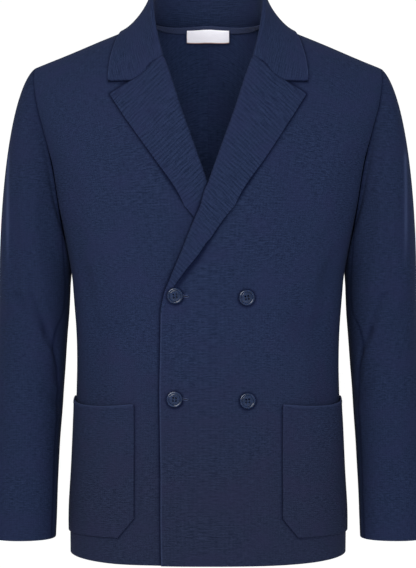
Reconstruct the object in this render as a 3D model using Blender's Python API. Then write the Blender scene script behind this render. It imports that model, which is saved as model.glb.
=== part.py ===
"""Double-breasted knit blazer, worn and hollow: cloth walls on a general figure.

The frame is +Z up with the front facing -Y. The origin is the middle of the neck
base, where a wearer holds the garment up. All sizes below are in millimetres, and
the meshes are made in metres.

Every panel is a wall made from a grid of points in the middle of the cloth and the
direction of its face at each point. Panels follow one body surface, which is read by
an angle round the body (0 at the centre, a quarter turn at the side) and a level
(the height up to the chest, and from there on the way up over the shoulder).
"""

import math
from collections import namedtuple

import bmesh
import bpy
from mathutils import Matrix, Vector

MM = 0.001
FRONT = -1
BACK = 1
LEFT = 1
RIGHT = -1

CLOTH = 1.8
LAPEL_CLOTH = 2.0
COLLAR_CLOTH = 2.0
TRIM_CLOTH = 1.0
SEAM_GAP = 0.3

# Body sections up to the chest: height, half width, front depth, back depth.
BodySection = namedtuple("BodySection", "z half front back")
BODY_SECTIONS = (
    BodySection(-700, 184.0, 116, 114),
    BodySection(-642, 182.5, 115, 113),
    BodySection(-582, 179.0, 113, 110),
    BodySection(-489, 175.0, 111, 104),
    BodySection(-412, 174.7, 113, 103),
    BodySection(-342, 180.0, 118, 107),
    BodySection(-312, 184.0, 121, 110),
    BodySection(-275, 192.0, 123, 112),
    BodySection(-242, 200.5, 124, 113),
)
HEM_Z = -700
HEM_RISE = 3
UNDERARM_Z = -312
CHEST_Z = -242
SQUARENESS = 2.5

# Above the chest: share of the rise to the shoulder line, half width there.
ShoulderSection = namedtuple("ShoulderSection", "rise half")
SHOULDER_SECTIONS = (
    ShoulderSection(0.0, 200.5),
    ShoulderSection(0.2, 210.0),
    ShoulderSection(0.4, 220.5),
    ShoulderSection(0.55, 229.0),
    ShoulderSection(0.7, 236.5),
    ShoulderSection(0.87, 242.0),
    ShoulderSection(1.0, 243.0),
)
RISE_LEVELS = 310
TOP_LEVEL = CHEST_Z + RISE_LEVELS
FRONT_FULLNESS = 2.2
BACK_FULLNESS = 2.6

# The shoulder line slopes down from the neck point; a mound carries the nape.
NECK_HALF = 78
NECK_POINT_Z = 9
SHOULDER_SLOPE = 0.435
SLOPE_ROUNDING = 30
NAPE_RISE = 36
NAPE_HALF = 95
NECK_BACK = 78
NECK_SQUARENESS = 2.2

# Armhole seam: height, distance from the middle at the front and at the back.
ArmholePoint = namedtuple("ArmholePoint", "z front back")
ARMHOLE = (
    ArmholePoint(-303, 185.6, 185.0),
    ArmholePoint(-275, 189.8, 188.0),
    ArmholePoint(-236, 195.8, 192.0),
    ArmholePoint(-196, 202.0, 196.5),
    ArmholePoint(-166, 208.5, 202.0),
    ArmholePoint(-138, 216.0, 210.0),
    ArmholePoint(-111, 223.5, 219.0),
    ArmholePoint(-79, 229.0, 227.0),
)
SHOULDER_TIP_X = 230.5

# Front edge and roll line on the wearer's own side; x runs past the middle below.
EdgePoint = namedtuple("EdgePoint", "x z")
FRONT_EDGE_X = -61
ROLL_LINE = (
    EdgePoint(-60.0, -378),
    EdgePoint(-55.0, -354),
    EdgePoint(-46.5, -335),
    EdgePoint(-33.5, -303),
    EdgePoint(-15.5, -257),
    EdgePoint(3.0, -209),
    EdgePoint(31.0, -133.5),
    EdgePoint(44.5, -94),
    EdgePoint(59.5, -51.5),
)
NECKLINE_FRONT = (
    EdgePoint(59.5, -51.5),
    EdgePoint(68.5, -28),
    EdgePoint(74.5, -8),
)

# Lapel: outer edge from the button up to the tip, then the top edge with the gorge.
LAPEL_EDGE = (
    EdgePoint(-50.0, -351),
    EdgePoint(-44.0, -342),
    EdgePoint(-28.8, -325),
    EdgePoint(-10.0, -301.5),
    EdgePoint(15.3, -266),
    EdgePoint(38.9, -232),
    EdgePoint(73.1, -181),
    EdgePoint(104.4, -132),
    EdgePoint(125.6, -99.3),
)
GORGE = (
    EdgePoint(59.5, -51.5),
    EdgePoint(69.0, -59.5),
    EdgePoint(80.5, -71.5),
    EdgePoint(98.0, -82.5),
)
LAPEL_TIP = EdgePoint(125.6, -99.3)
COLLAR_CORNER = EdgePoint(128.3, -82.8)

# Collar from the gorge to the middle of the back: the place along the neck seam, the
# top of the fold, and the outer edge (on the front by height, on the back by depth).
CollarColumn = namedtuple("CollarColumn", "along fold_x fold_y fold_z edge_x edge_y edge_z")
COLLAR = (
    CollarColumn(0.00, 57.5, -88, -49, 128.3, -82, -82.8),
    CollarColumn(0.14, 63.5, -74, -19, 128.8, -71, -64),
    CollarColumn(0.28, 67.5, -57, 7, 127.0, -55, -43),
    CollarColumn(0.42, 70.3, -34, 30, 122.0, -30, -22),
    CollarColumn(0.55, 72.3, -4, 44, 115.5, 2, -8),
    CollarColumn(0.70, 68.5, 30, 50, 103.0, 35, -10),
    CollarColumn(0.84, 49.5, 59, 52.5, 80.0, 57.5, -10),
    CollarColumn(0.93, 25.0, 72.5, 53, 44.0, 75.5, -8),
    CollarColumn(1.00, 0.0, 77, 53, 0.0, 83, -2),
)
COLLAR_FOLD_RADIUS = 2.3
# Height on the middle axis towards which the neck seam's allowance points.
COLLAR_AIM = 60
COLLAR_LEAVE = 0.3
COLLAR_ARRIVE = 0.35
# Turn over the fold that the collar lacks past this place along it, and the places
# between which its fall stops landing flat on the shoulder and hangs free behind.
COLLAR_TURN_SHORT = 0.08
COLLAR_TURN_END = 0.4
COLLAR_HANG_START = 0.62
COLLAR_HANG_END = 0.85
COLLAR_HANG = 0.8

# Two-piece sleeve below its cap: height, centre, half sizes, and the turns (degrees
# from the back, over the outer side) at which the front and the back seam run.
ArmSection = namedtuple("ArmSection", "z x y half_width half_depth front_seam back_seam")
ARM_SECTIONS = (
    ArmSection(-352, 231.0, 6, 47.0, 61.0, 243, 326),
    ArmSection(-378, 232.0, 6, 46.7, 59.5, 241, 325),
    ArmSection(-399, 233.0, 6, 46.3, 58.0, 226, 324),
    ArmSection(-417, 234.0, 6, 46.0, 57.0, 221, 324),
    ArmSection(-435, 234.8, 5, 45.6, 56.0, 226, 324),
    ArmSection(-455, 235.7, 4, 45.2, 55.0, 234, 324),
    ArmSection(-490, 237.3, -1, 44.6, 52.5, 240, 324),
    ArmSection(-560, 240.0, -12, 43.3, 48.5, 243, 325),
    ArmSection(-620, 242.0, -23, 42.4, 46.0, 244, 326),
    ArmSection(-675, 243.5, -33, 41.8, 44.0, 244, 326),
)
SLEEVE_TOP_Z = -352
SLEEVE_SQUARENESS = 2.2
SLEEVE_ROWS = (-352, -378, -399, -417, -435, -455, -490, -530, -575, -625, -675)

# Direction in which the sleeve cap leaves the armhole, and the reach of its curve's
# two handles at the underarm with the change towards the shoulder tip.
CAP_OUT = 0.75
CAP_SPREAD = 0.42
CAP_DOWN = 0.62
CAP_LEAVE = 0.30
CAP_LEAVE_LIFT = -0.165
CAP_ARRIVE = 0.35
CAP_ARRIVE_LIFT = 0.08

# Rows and columns of the panels.
SIDE_ROWS = 9
ARMHOLE_ROWS = 14
NECK_ROWS_FRONT = 4
NECK_ROWS_BACK = 7
FRONT_EDGE_ROWS = 7
FRONT_COLUMNS = 14
BACK_COLUMNS = 11
CAP_ROWS = 6
UNDER_ROWS_FRONT = 3
UNDER_ROWS_BACK = 5
ROLL_STEPS = 4
GORGE_STEPS = 4
TIP_STEPS = 3
SETTLE_STEPS = 3
STAND_STEPS = 3
FOLD_STEPS = 4
FALL_STEPS = GORGE_STEPS + TIP_STEPS
POCKET_ROWS = 6
POCKET_CUT_ROWS = 2
POCKET_COLUMNS = 7

# Largest folds: where the trough starts and ends, its half width and depth.
Fold = namedtuple("Fold", "face x0 z0 x1 z1 width depth")
BODY_FOLDS = (
    Fold(FRONT, 140, -395, 150, -490, 22, 3.5),
    Fold(FRONT, -141, -400, -148, -485, 22, 3.5),
    Fold(FRONT, 150, -330, 120, -400, 24, 2.5),
    Fold(FRONT, -152, -330, -118, -396, 24, 2.5),
    Fold(BACK, 118, -330, 60, -430, 26, 4.0),
    Fold(BACK, -122, -340, -70, -425, 26, 4.0),
    Fold(BACK, 96, -450, 104, -640, 30, 3.5),
    Fold(BACK, -100, -455, -96, -650, 30, 3.5),
)
# On a sleeve a place is a turn in degrees and a height.
SleeveFold = namedtuple("SleeveFold", "side turn0 z0 turn1 z1 width depth")
SLEEVE_FOLDS = (
    SleeveFold(LEFT, 140, -356, 214, -410, 11, 4.0),
    SleeveFold(RIGHT, 168, -378, 216, -412, 11, 4.0),
    SleeveFold(LEFT, 205, -425, 250, -452, 10, 3.0),
    SleeveFold(RIGHT, 200, -430, 248, -458, 10, 3.0),
    SleeveFold(LEFT, 330, -395, 385, -430, 13, 3.0),
    SleeveFold(RIGHT, 335, -405, 380, -432, 13, 3.0),
)
FOLD_FADE = 0.18

# Separation of the two fronts where they lap, in front of and behind the surface.
LAP_OUTER_X = 125
LAP_INNER_X = 66
LapLayer = namedtuple("LapLayer", "z top under")
LAP_LAYERS = (
    LapLayer(-700, 0.9, 2.1),
    LapLayer(-405, 0.9, 2.1),
    LapLayer(-362, 2.2, 5.2),
    LapLayer(-215, 2.2, 5.2),
    LapLayer(-90, 0.0, 0.0),
)

# What lies on the fronts.
ROLL_HEIGHT = 3.6
LAPEL_HEIGHT = 2.1
COLLAR_HEIGHT = 2.9
POCKET_HEIGHT = 2.2
POCKET_BULGE = 1.6
POCKET_INNER_X = 95
POCKET_OUTER_ANGLE = math.radians(86.5)
POCKET_TOP_Z = -496
POCKET_CHAMFER_Z = -644
POCKET_BOTTOM_Z = -667
POCKET_CHAMFER_X = 113.5

# Buttons on the wearer's left front: place of the centre.
ButtonPlace = namedtuple("ButtonPlace", "name x z")
BUTTONS = (
    ButtonPlace("button_top_edge", -41.5, -358),
    ButtonPlace("button_top_inner", 49.0, -359.5),
    ButtonPlace("button_low_edge", -42.5, -489),
    ButtonPlace("button_low_inner", 50.5, -491),
)
BUTTON_RADIUS = 10
BUTTON_RIM = 8.0
BUTTON_WELL = 6.6
BUTTON_CHAMFER = 0.8
BUTTON_EDGE_HEIGHT = 2.2
BUTTON_RIM_HEIGHT = 3.6
BUTTON_WELL_HEIGHT = 2.4
BUTTON_LIFT = 0.6
BUTTON_SIDES = 24
HOLE_RADIUS = 0.95
HOLE_REACH = 1.9
HOLE_SIDES = 6

# Tape and label inside the back neck.
TAPE_TOP = 1.2
TAPE_BOTTOM = 9.2
TAPE_HEIGHT = -4.2
LABEL_HALF = 30.5
LABEL_TOP = 5.0
LABEL_BOTTOM = 24.5
LABEL_HEIGHT = -6.2
LABEL_COLUMNS = 8

# Principled values: base colour, roughness, metallic.
NAVY_KNIT = ("navy_knit", (0.018, 0.026, 0.076), 0.9, 0.0)
NAVY_BUTTON = ("navy_button", (0.012, 0.024, 0.085), 0.25, 0.0)
NAVY_TAPE = ("navy_tape", (0.02, 0.03, 0.09), 0.8, 0.0)
PALE_LABEL = ("pale_label", (0.74, 0.73, 0.80), 0.75, 0.0)


def smooth(rows, key, column, at):
    """Value of a column at a key, on a smooth curve through the table's rows."""
    keys = [getattr(row, key) for row in rows]
    values = [getattr(row, column) for row in rows]
    if keys[0] > keys[-1]:
        keys.reverse()
        values.reverse()
    at = min(max(at, keys[0]), keys[-1])
    last = len(keys) - 2
    index = next((i for i in range(last + 1) if at <= keys[i + 1]), last)

    def slope(i):
        low = max(i - 1, 0)
        high = min(i + 1, len(keys) - 1)
        return (values[high] - values[low]) / (keys[high] - keys[low])

    span = keys[index + 1] - keys[index]
    u = (at - keys[index]) / span
    start = values[index] * (2 * u**3 - 3 * u**2 + 1) + slope(index) * span * (u**3 - 2 * u**2 + u)
    end = values[index + 1] * (3 * u**2 - 2 * u**3) + slope(index + 1) * span * (u**3 - u**2)
    return start + end


def ease(low, high, at):
    """0 below low, 1 above high, smooth between."""
    u = min(max((at - low) / (high - low), 0), 1)
    return u * u * (3 - 2 * u)


def shoulder_line(x):
    """Height of the shoulder line at a distance from the middle."""
    run = math.hypot(x, SLOPE_ROUNDING) - math.hypot(NECK_HALF, SLOPE_ROUNDING)
    mound = max(0, 1 - (x / NAPE_HALF) ** 2) ** 2
    return NECK_POINT_Z - SHOULDER_SLOPE * run + NAPE_RISE * mound


def fullness(face):
    """Exponent of the profile from the chest over the shoulder."""
    return FRONT_FULLNESS if face == FRONT else BACK_FULLNESS


def section(level, face):
    """Half width, depth and share of the rise at a level."""
    column = "front" if face == FRONT else "back"
    if level <= CHEST_Z:
        half = smooth(BODY_SECTIONS, "z", "half", level)
        return half, smooth(BODY_SECTIONS, "z", column, level), 0.0
    turn = min((level - CHEST_Z) / RISE_LEVELS, 1) * math.pi / 2
    rise = math.sin(turn) ** (2 / fullness(face))
    chest_depth = getattr(BODY_SECTIONS[-1], column)
    depth = chest_depth * max(math.cos(turn), 0) ** (2 / fullness(face))
    return smooth(SHOULDER_SECTIONS, "rise", "half", rise), depth, rise


def plain_point(angle, level, face):
    """Point of the body surface without folds; a negative angle is past the middle."""
    half, depth, rise = section(level, face)
    x = half * math.copysign(abs(math.sin(angle)) ** (2 / SQUARENESS), angle)
    y = face * depth * max(math.cos(angle), 0) ** (2 / SQUARENESS)
    z = level
    if level > CHEST_Z:
        z = CHEST_Z + rise * (shoulder_line(x) - CHEST_Z)
    return Vector((x, y, z))


def plain_normal(angle, level, face):
    """Direction in which the body surface faces."""
    step = 0.004
    across = plain_point(min(angle + step, math.pi / 2), level, face)
    across -= plain_point(angle - step, level, face)
    up = plain_point(angle, min(level + 1, TOP_LEVEL), face)
    up -= plain_point(angle, level - 1, face)
    return (across.cross(up) * -face).normalized()


def locate(x, z, face):
    """Angle and level of the surface point in front of or behind a place (x, z)."""
    if z <= CHEST_Z:
        level = z
        half = section(level, face)[0]
    else:
        rise = min((z - CHEST_Z) / (shoulder_line(x) - CHEST_Z), 1)
        turn = math.asin(rise ** (fullness(face) / 2))
        level = CHEST_Z + RISE_LEVELS * turn / (math.pi / 2)
        half = smooth(SHOULDER_SECTIONS, "rise", "half", rise)
    share = min(abs(x) / half, 1)
    return math.copysign(math.asin(share ** (SQUARENESS / 2)), x), level


def locate_back(x, y):
    """Angle and level of the upper back at a place in plan."""
    low, high = CHEST_Z, TOP_LEVEL
    for _ in range(40):
        level = (low + high) / 2
        half, depth, _ = section(level, BACK)
        there = depth * (1 - min(abs(x) / half, 1) ** SQUARENESS) ** (1 / SQUARENESS)
        low, high = (level, high) if there > y else (low, level)
    share = min(abs(x) / half, 1)
    return math.copysign(math.asin(share ** (SQUARENESS / 2)), x), level


def trough(across, along, width, depth):
    """Depth of a fold at a distance from its line, fading past its ends."""
    past = max(0, abs(along - 0.5) - 0.5)
    return depth * math.exp(-((across / width) ** 2) - (past / FOLD_FADE) ** 2)


def fold_depth(x, z, face, side):
    """Depth of the folds of the body at a place on the wearer's own side."""
    total = 0.0
    for fold in BODY_FOLDS:
        if fold.face != face:
            continue
        run = Vector((fold.x1 - fold.x0, fold.z1 - fold.z0))
        place = Vector((x * side - fold.x0, z - fold.z0))
        along = place.dot(run) / run.length_squared
        total += trough(place.cross(run) / run.length, along, fold.width, fold.depth)
    return total


def lap_shift(x, z, side):
    """How far a front stands off the body surface where the fronts lap."""
    share = ease(-LAP_OUTER_X, -LAP_INNER_X, -x)
    if side == LEFT:
        return share * smooth(LAP_LAYERS, "z", "top", z)
    return -share * smooth(LAP_LAYERS, "z", "under", z)


def cloth_point(angle, level, face, side, height):
    """Point at a height over the outer face of a panel, and the panel's direction."""
    point = plain_point(angle, level, face)
    normal = plain_normal(angle, level, face)
    shift = height - fold_depth(point.x, point.z, face, side)
    if face == FRONT:
        shift += lap_shift(point.x, point.z, side)
    return point + normal * shift, normal


def along_curve(places, count, face, passes=40):
    """Places at even distances on a smooth curve through (angle, level) places."""
    dense = []
    spans = len(places) - 1
    for step in range(spans * passes + 1):
        at = step / passes
        index = min(int(at), spans - 1)
        u = at - index
        ends = [places[min(max(index + k, 0), spans)] for k in (-1, 0, 1, 2)]
        place = []
        for axis in range(2):
            a, b, c, d = (end[axis] for end in ends)
            curve = b + u * (c - a) / 2 + u * u * (a - 2.5 * b + 2 * c - d / 2)
            place.append(curve + u**3 * (1.5 * b - a / 2 - 1.5 * c + d / 2))
        place[1] = min(place[1], TOP_LEVEL)
        dense.append(tuple(place))
    points = [plain_point(*place, face) for place in dense]
    lengths = [0.0]
    for before, after in zip(points, points[1:]):
        lengths.append(lengths[-1] + (after - before).length)
    chosen = []
    index = 0
    for step in range(count + 1):
        wanted = lengths[-1] * step / count
        while index < len(lengths) - 2 and lengths[index + 1] < wanted:
            index += 1
        u = (wanted - lengths[index]) / (lengths[index + 1] - lengths[index])
        u = min(max(u, 0), 1)
        chosen.append(tuple(p + u * (q - p) for p, q in zip(dense[index], dense[index + 1])))
    return chosen


def patch(left, right, bottom, top):
    """Grid of (angle, level) places between four edges, rows from bottom to top."""
    rows = len(left) - 1
    columns = len(bottom) - 1
    grid = []
    for i in range(rows + 1):
        v = i / rows
        row = []
        for j in range(columns + 1):
            u = j / columns
            place = []
            for axis in range(2):
                sides = (1 - u) * left[i][axis] + u * right[i][axis]
                ends = (1 - v) * bottom[j][axis] + v * top[j][axis]
                low = (1 - u) * bottom[0][axis] + u * bottom[-1][axis]
                high = (1 - u) * top[0][axis] + u * top[-1][axis]
                place.append(sides + ends - (1 - v) * low - v * high)
            row.append(tuple(place))
        grid.append(row)
    return grid


def side_places(face):
    """Places up the side seam and round the armhole to the shoulder tip."""
    column = "front" if face == FRONT else "back"
    start = HEM_Z + HEM_RISE
    step = (UNDERARM_Z - start) / SIDE_ROWS
    seam = [(math.pi / 2, start + step * row) for row in range(SIDE_ROWS)]
    armhole = [(math.pi / 2, UNDERARM_Z)]
    armhole += [locate(getattr(point, column), point.z, face) for point in ARMHOLE]
    armhole.append(locate(SHOULDER_TIP_X, shoulder_line(SHOULDER_TIP_X), face))
    return seam + along_curve(armhole, ARMHOLE_ROWS, face)


def shoulder_places(columns, face):
    """Places along the shoulder seam from the neck point to the tip."""
    step = (SHOULDER_TIP_X - NECK_HALF) / columns
    xs = [NECK_HALF + step * column for column in range(columns + 1)]
    return [locate(x, shoulder_line(x), face) for x in xs]


def hem_places(start_x, columns, face):
    """Places along the hem, a little higher at the side than in the middle."""
    start = locate(start_x, HEM_Z, face)
    places = along_curve([start, (math.pi / 2, HEM_Z)], columns, face)
    return [(angle, HEM_Z + HEM_RISE * math.sin(angle) ** 4) for angle, _ in places]


def front_neck_places():
    """Places from the end of the roll line up to the neck point."""
    points = [locate(point.x, point.z, FRONT) for point in NECKLINE_FRONT]
    points.append(locate(NECK_HALF, shoulder_line(NECK_HALF), FRONT))
    return along_curve(points, NECK_ROWS_FRONT, FRONT)


def back_neck_places():
    """Places from the middle of the back neck to the neck point."""
    steps = 12
    points = []
    for step in range(steps):
        turn = math.pi / 2 * step / steps
        x = NECK_HALF * math.sin(turn) ** (2 / NECK_SQUARENESS)
        y = NECK_BACK * math.cos(turn) ** (2 / NECK_SQUARENESS)
        points.append(locate_back(x, y))
    points.append(locate(NECK_HALF, shoulder_line(NECK_HALF), BACK))
    return along_curve(points, NECK_ROWS_BACK, BACK)


def roll_places():
    """Places up the roll line from the front edge to the neckline."""
    rows = SIDE_ROWS + ARMHOLE_ROWS - FRONT_EDGE_ROWS - NECK_ROWS_FRONT
    return along_curve([locate(point.x, point.z, FRONT) for point in ROLL_LINE], rows, FRONT)


def front_edge_places():
    """Places up the front edge, the roll line and the neckline."""
    step = (ROLL_LINE[0].z - HEM_Z) / FRONT_EDGE_ROWS
    edge = [locate(FRONT_EDGE_X, HEM_Z + step * row, FRONT) for row in range(FRONT_EDGE_ROWS)]
    return edge + roll_places()[:-1] + front_neck_places()


def back_edge_places():
    """Places up the centre back seam and round the neck to the neck point."""
    total = SIDE_ROWS + ARMHOLE_ROWS
    neck = back_neck_places()
    seam = along_curve([(0.0, HEM_Z), neck[0]], total - NECK_ROWS_BACK, BACK)
    return seam[:-1] + neck


def mirrored(vectors, side):
    """The vectors on the wearer's left, or their mirror images on the right."""
    return [Vector((v.x * side, v.y, v.z)) for v in vectors]


def edge_of(grid, edge):
    """Row and column numbers along one edge of a grid, and those one step inside."""
    rows = len(grid)
    columns = len(grid[0])
    if edge == "first_row":
        return [(0, j) for j in range(columns)], [(1, j) for j in range(columns)]
    if edge == "last_row":
        return [(rows - 1, j) for j in range(columns)], [(rows - 2, j) for j in range(columns)]
    if edge == "first_column":
        return [(i, 0) for i in range(rows)], [(i, 1) for i in range(rows)]
    return [(i, columns - 1) for i in range(rows)], [(i, columns - 2) for i in range(rows)]


def part_seams(middles, faces, seams):
    """Moves the grid's sewn edges back by a distance each, in the plane of the cloth."""
    moves = {}
    for edge, distance in seams.items():
        border, inside = edge_of(middles, edge)
        for number, (i, j) in enumerate(border):
            before = border[max(number - 1, 0)]
            after = border[min(number + 1, len(border) - 1)]
            run = middles[after[0]][after[1]] - middles[before[0]][before[1]]
            off = run.cross(faces[i][j]).normalized()
            inner = inside[number]
            if off.dot(middles[i][j] - middles[inner[0]][inner[1]]) < 0:
                off.negate()
            moves[i, j] = moves.get((i, j), Vector()) - off * distance
    for (i, j), move in moves.items():
        middles[i][j] = middles[i][j] + move


def make_material(finish):
    """Principled material of a finish, made once."""
    name, colour, roughness, metallic = finish
    if name in bpy.data.materials:
        return bpy.data.materials[name]
    material = bpy.data.materials.new(name)
    material.use_nodes = True
    shader = material.node_tree.nodes["Principled BSDF"]
    shader.inputs["Base Color"].default_value = (*colour, 1)
    shader.inputs["Roughness"].default_value = roughness
    shader.inputs["Metallic"].default_value = metallic
    return material


def make_object(name, mesh_maker, finish):
    """Object with the mesh that a bmesh holds, in metres, smooth with sharp edges."""
    bmesh.ops.recalc_face_normals(mesh_maker, faces=mesh_maker.faces)
    bmesh.ops.scale(mesh_maker, vec=(MM, MM, MM), verts=mesh_maker.verts)
    mesh = bpy.data.meshes.new(name)
    mesh_maker.to_mesh(mesh)
    mesh_maker.free()
    mesh.shade_smooth()
    mesh.set_sharp_from_angle(angle=math.radians(50))
    mesh.materials.append(make_material(finish))
    made = bpy.data.objects.new(name, mesh)
    bpy.context.scene.collection.objects.link(made)
    return made


def sewn(*edges):
    """Half a seam gap for each edge that a like panel meets."""
    return {edge: SEAM_GAP / 2 for edge in edges}


def make_wall(name, middles, faces, thickness, seams=None, finish=NAVY_KNIT):
    """Closed wall of cloth round a grid of middle points and face directions."""
    part_seams(middles, faces, seams or {})
    maker = bmesh.new()
    skins = []
    for direction in (0.5, -0.5):
        skin = []
        for row, face_row in zip(middles, faces):
            pairs = zip(row, face_row)
            skin.append([maker.verts.new(p + n * thickness * direction) for p, n in pairs])
        skins.append(skin)
    rows = len(middles) - 1
    columns = len(middles[0]) - 1
    for skin in skins:
        for i in range(rows):
            for j in range(columns):
                maker.faces.new((skin[i][j], skin[i][j + 1], skin[i + 1][j + 1], skin[i + 1][j]))
    rim = [((i, j), (i, j + 1)) for i in (0, rows) for j in range(columns)]
    rim += [((i, j), (i + 1, j)) for j in (0, columns) for i in range(rows)]
    for (i, j), (k, m) in rim:
        maker.faces.new((skins[0][i][j], skins[0][k][m], skins[1][k][m]))
        maker.faces.new((skins[0][i][j], skins[1][k][m], skins[1][i][j]))
    return make_object(name, maker, finish)


def cloth_grid(places, face, side, height):
    """Middle points and face directions at a height over a panel, on one side."""
    middles = []
    faces = []
    for row in places:
        pairs = [cloth_point(angle, level, face, side, height) for angle, level in row]
        middles.append(mirrored([point for point, _ in pairs], side))
        faces.append(mirrored([normal for _, normal in pairs], side))
    return middles, faces


def armhole_turn(number):
    """Turn round the arm, in radians, of an armhole point counted from the tip."""
    return math.pi / 2 + math.pi / ARMHOLE_ROWS * number


def cap_direction(turn):
    """Direction in which the sleeve leaves the armhole at a turn round the arm."""
    return Vector((CAP_OUT, CAP_SPREAD * math.cos(turn), -CAP_DOWN)).normalized()


def armhole_loop():
    """Points, body directions and turns round the armhole of the wearer's left.

    The loop runs from the shoulder tip down the front to the underarm and up the
    back. Panels and sleeve share its points and the direction between their faces.
    """
    front = list(reversed(side_places(FRONT)[SIDE_ROWS:]))
    back = side_places(BACK)[SIDE_ROWS:]
    places = [(place, FRONT) for place in front] + [(place, BACK) for place in back[1:]]
    turns = [armhole_turn(number) for number in range(len(places))]
    points = []
    body_normals = []
    for (angle, level), face in places:
        points.append(plain_point(angle, level, face))
        body_normals.append(plain_normal(angle, level, face))
    points[-1] = points[0].copy()
    normals = []
    count = len(points) - 1
    for number, turn in enumerate(turns):
        before = points[(number - 1) % count]
        after = points[(number + 1) % count]
        sleeve = (after - before).cross(cap_direction(turn)).normalized()
        if sleeve.dot(Vector((0, math.cos(turn), math.sin(turn)))) < 0:
            sleeve.negate()
        normals.append((body_normals[number] + sleeve).normalized())
    normals[-1] = normals[0].copy()
    return points, normals, turns


def set_armhole(middles, faces, face, side):
    """Gives a panel's armhole edge the directions that it shares with the sleeve."""
    points, normals, _ = armhole_loop()
    if face == FRONT:
        order = range(ARMHOLE_ROWS, -1, -1)
    else:
        order = range(ARMHOLE_ROWS, 2 * ARMHOLE_ROWS + 1)
    for row, number in enumerate(order, SIDE_ROWS):
        point, normal = mirrored([points[number], normals[number]], side)
        middles[row][-1] = point - normal * CLOTH / 2
        faces[row][-1] = normal


def build_front(name, side):
    """One front, from its edge and roll line to the side seam and the armhole."""
    left = front_edge_places()
    right = side_places(FRONT)
    bottom = hem_places(FRONT_EDGE_X, FRONT_COLUMNS, FRONT)
    top = shoulder_places(FRONT_COLUMNS, FRONT)
    places = patch(left, right, bottom, top)
    middles, faces = cloth_grid(places, FRONT, side, -CLOTH / 2)
    set_armhole(middles, faces, FRONT, side)
    make_wall(name, middles, faces, CLOTH, sewn("last_column", "last_row"))


def build_back(name, side):
    """One half of the back, from the centre seam to the side seam and the armhole."""
    left = back_edge_places()
    right = side_places(BACK)
    bottom = hem_places(0.0, BACK_COLUMNS, BACK)
    top = shoulder_places(BACK_COLUMNS, BACK)
    places = patch(left, right, bottom, top)
    middles, faces = cloth_grid(places, BACK, side, -CLOTH / 2)
    set_armhole(middles, faces, BACK, side)
    make_wall(name, middles, faces, CLOTH, sewn("first_column", "last_column", "last_row"))


def arm_turns(z):
    """Turns of the sleeve's columns at a height, in radians: upper panel, then under."""
    front = smooth(ARM_SECTIONS, "z", "front_seam", z)
    back = smooth(ARM_SECTIONS, "z", "back_seam", z)
    upper = 2 * ARMHOLE_ROWS - UNDER_ROWS_FRONT - UNDER_ROWS_BACK
    under = UNDER_ROWS_FRONT + UNDER_ROWS_BACK
    start = back - 360
    turns = [start + (front - start) * k / upper for k in range(upper)]
    turns += [front + (back - front) * k / under for k in range(under + 1)]
    return [math.radians(turn) for turn in turns]


def sleeve_fold(turn, z, side, half):
    """Depth of a sleeve's folds at a turn round the arm and a height."""
    total = 0.0
    degrees = math.degrees(turn)
    for fold in SLEEVE_FOLDS:
        if fold.side != side:
            continue
        for wound in (degrees, degrees + 360):
            start = Vector((math.radians(fold.turn0) * half, fold.z0))
            run = Vector((math.radians(fold.turn1) * half, fold.z1)) - start
            place = Vector((math.radians(wound) * half, z)) - start
            along = place.dot(run) / run.length_squared
            total += trough(place.cross(run) / run.length, along, fold.width, fold.depth)
    return total


def arm_point(turn, z, side):
    """Outer point of the hanging sleeve of the wearer's left at a turn and a height."""
    x, y, half, depth = (
        smooth(ARM_SECTIONS, "z", column, z) for column in ("x", "y", "half_width", "half_depth")
    )
    power = 2 / SLEEVE_SQUARENESS
    out = math.copysign(abs(math.sin(turn)) ** power, math.sin(turn))
    rear = math.copysign(abs(math.cos(turn)) ** power, math.cos(turn))
    inward = sleeve_fold(turn, z, side, (half + depth) / 2)
    return Vector((x + (half - inward) * out, y + (depth - inward) * rear, z))


def sleeve_grid(side):
    """Outer points of a sleeve: rows from armhole to cuff, columns round the arm."""
    points, _, loop_turns = armhole_loop()
    upper = 2 * ARMHOLE_ROWS - UNDER_ROWS_FRONT - UNDER_ROWS_BACK
    first = ARMHOLE_ROWS + UNDER_ROWS_BACK
    count = 2 * ARMHOLE_ROWS
    numbers = [(first + k) % count for k in range(upper + 1)]
    numbers += [(numbers[-1] + k) % count for k in range(1, count - upper + 1)]
    turns = arm_turns(SLEEVE_TOP_Z)
    rows = []
    for row in range(CAP_ROWS):
        u = row / CAP_ROWS
        line = []
        for number, turn in zip(numbers, turns):
            start = points[number]
            end = arm_point(turn, SLEEVE_TOP_Z, side)
            reach = (end - start).length
            lift = max(0, math.sin(loop_turns[number])) ** 2
            leave = start + cap_direction(loop_turns[number]) * (
                reach * (CAP_LEAVE + CAP_LEAVE_LIFT * lift)
            )
            arrive = end + Vector((0, 0, 1)) * reach * (CAP_ARRIVE + CAP_ARRIVE_LIFT * lift)
            line.append(curve_point(start, leave, arrive, end, u))
        rows.append(line)
    for z in SLEEVE_ROWS:
        rows.append([arm_point(turn, z, side) for turn in arm_turns(z)])
    return rows, numbers


def grid_normals(rows, closed):
    """Direction of a grid's surface at each point; closed when its columns go round."""
    count = len(rows[0]) - 1
    normals = []
    for i, row in enumerate(rows):
        above = rows[max(i - 1, 0)]
        below = rows[min(i + 1, len(rows) - 1)]
        line = []
        for j in range(len(row)):
            if closed:
                before, after = row[(j - 1) % count], row[(j + 1) % count]
            else:
                before, after = row[max(j - 1, 0)], row[min(j + 1, count)]
            line.append((after - before).cross(below[j] - above[j]).normalized())
        normals.append(line)
    return normals


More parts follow.
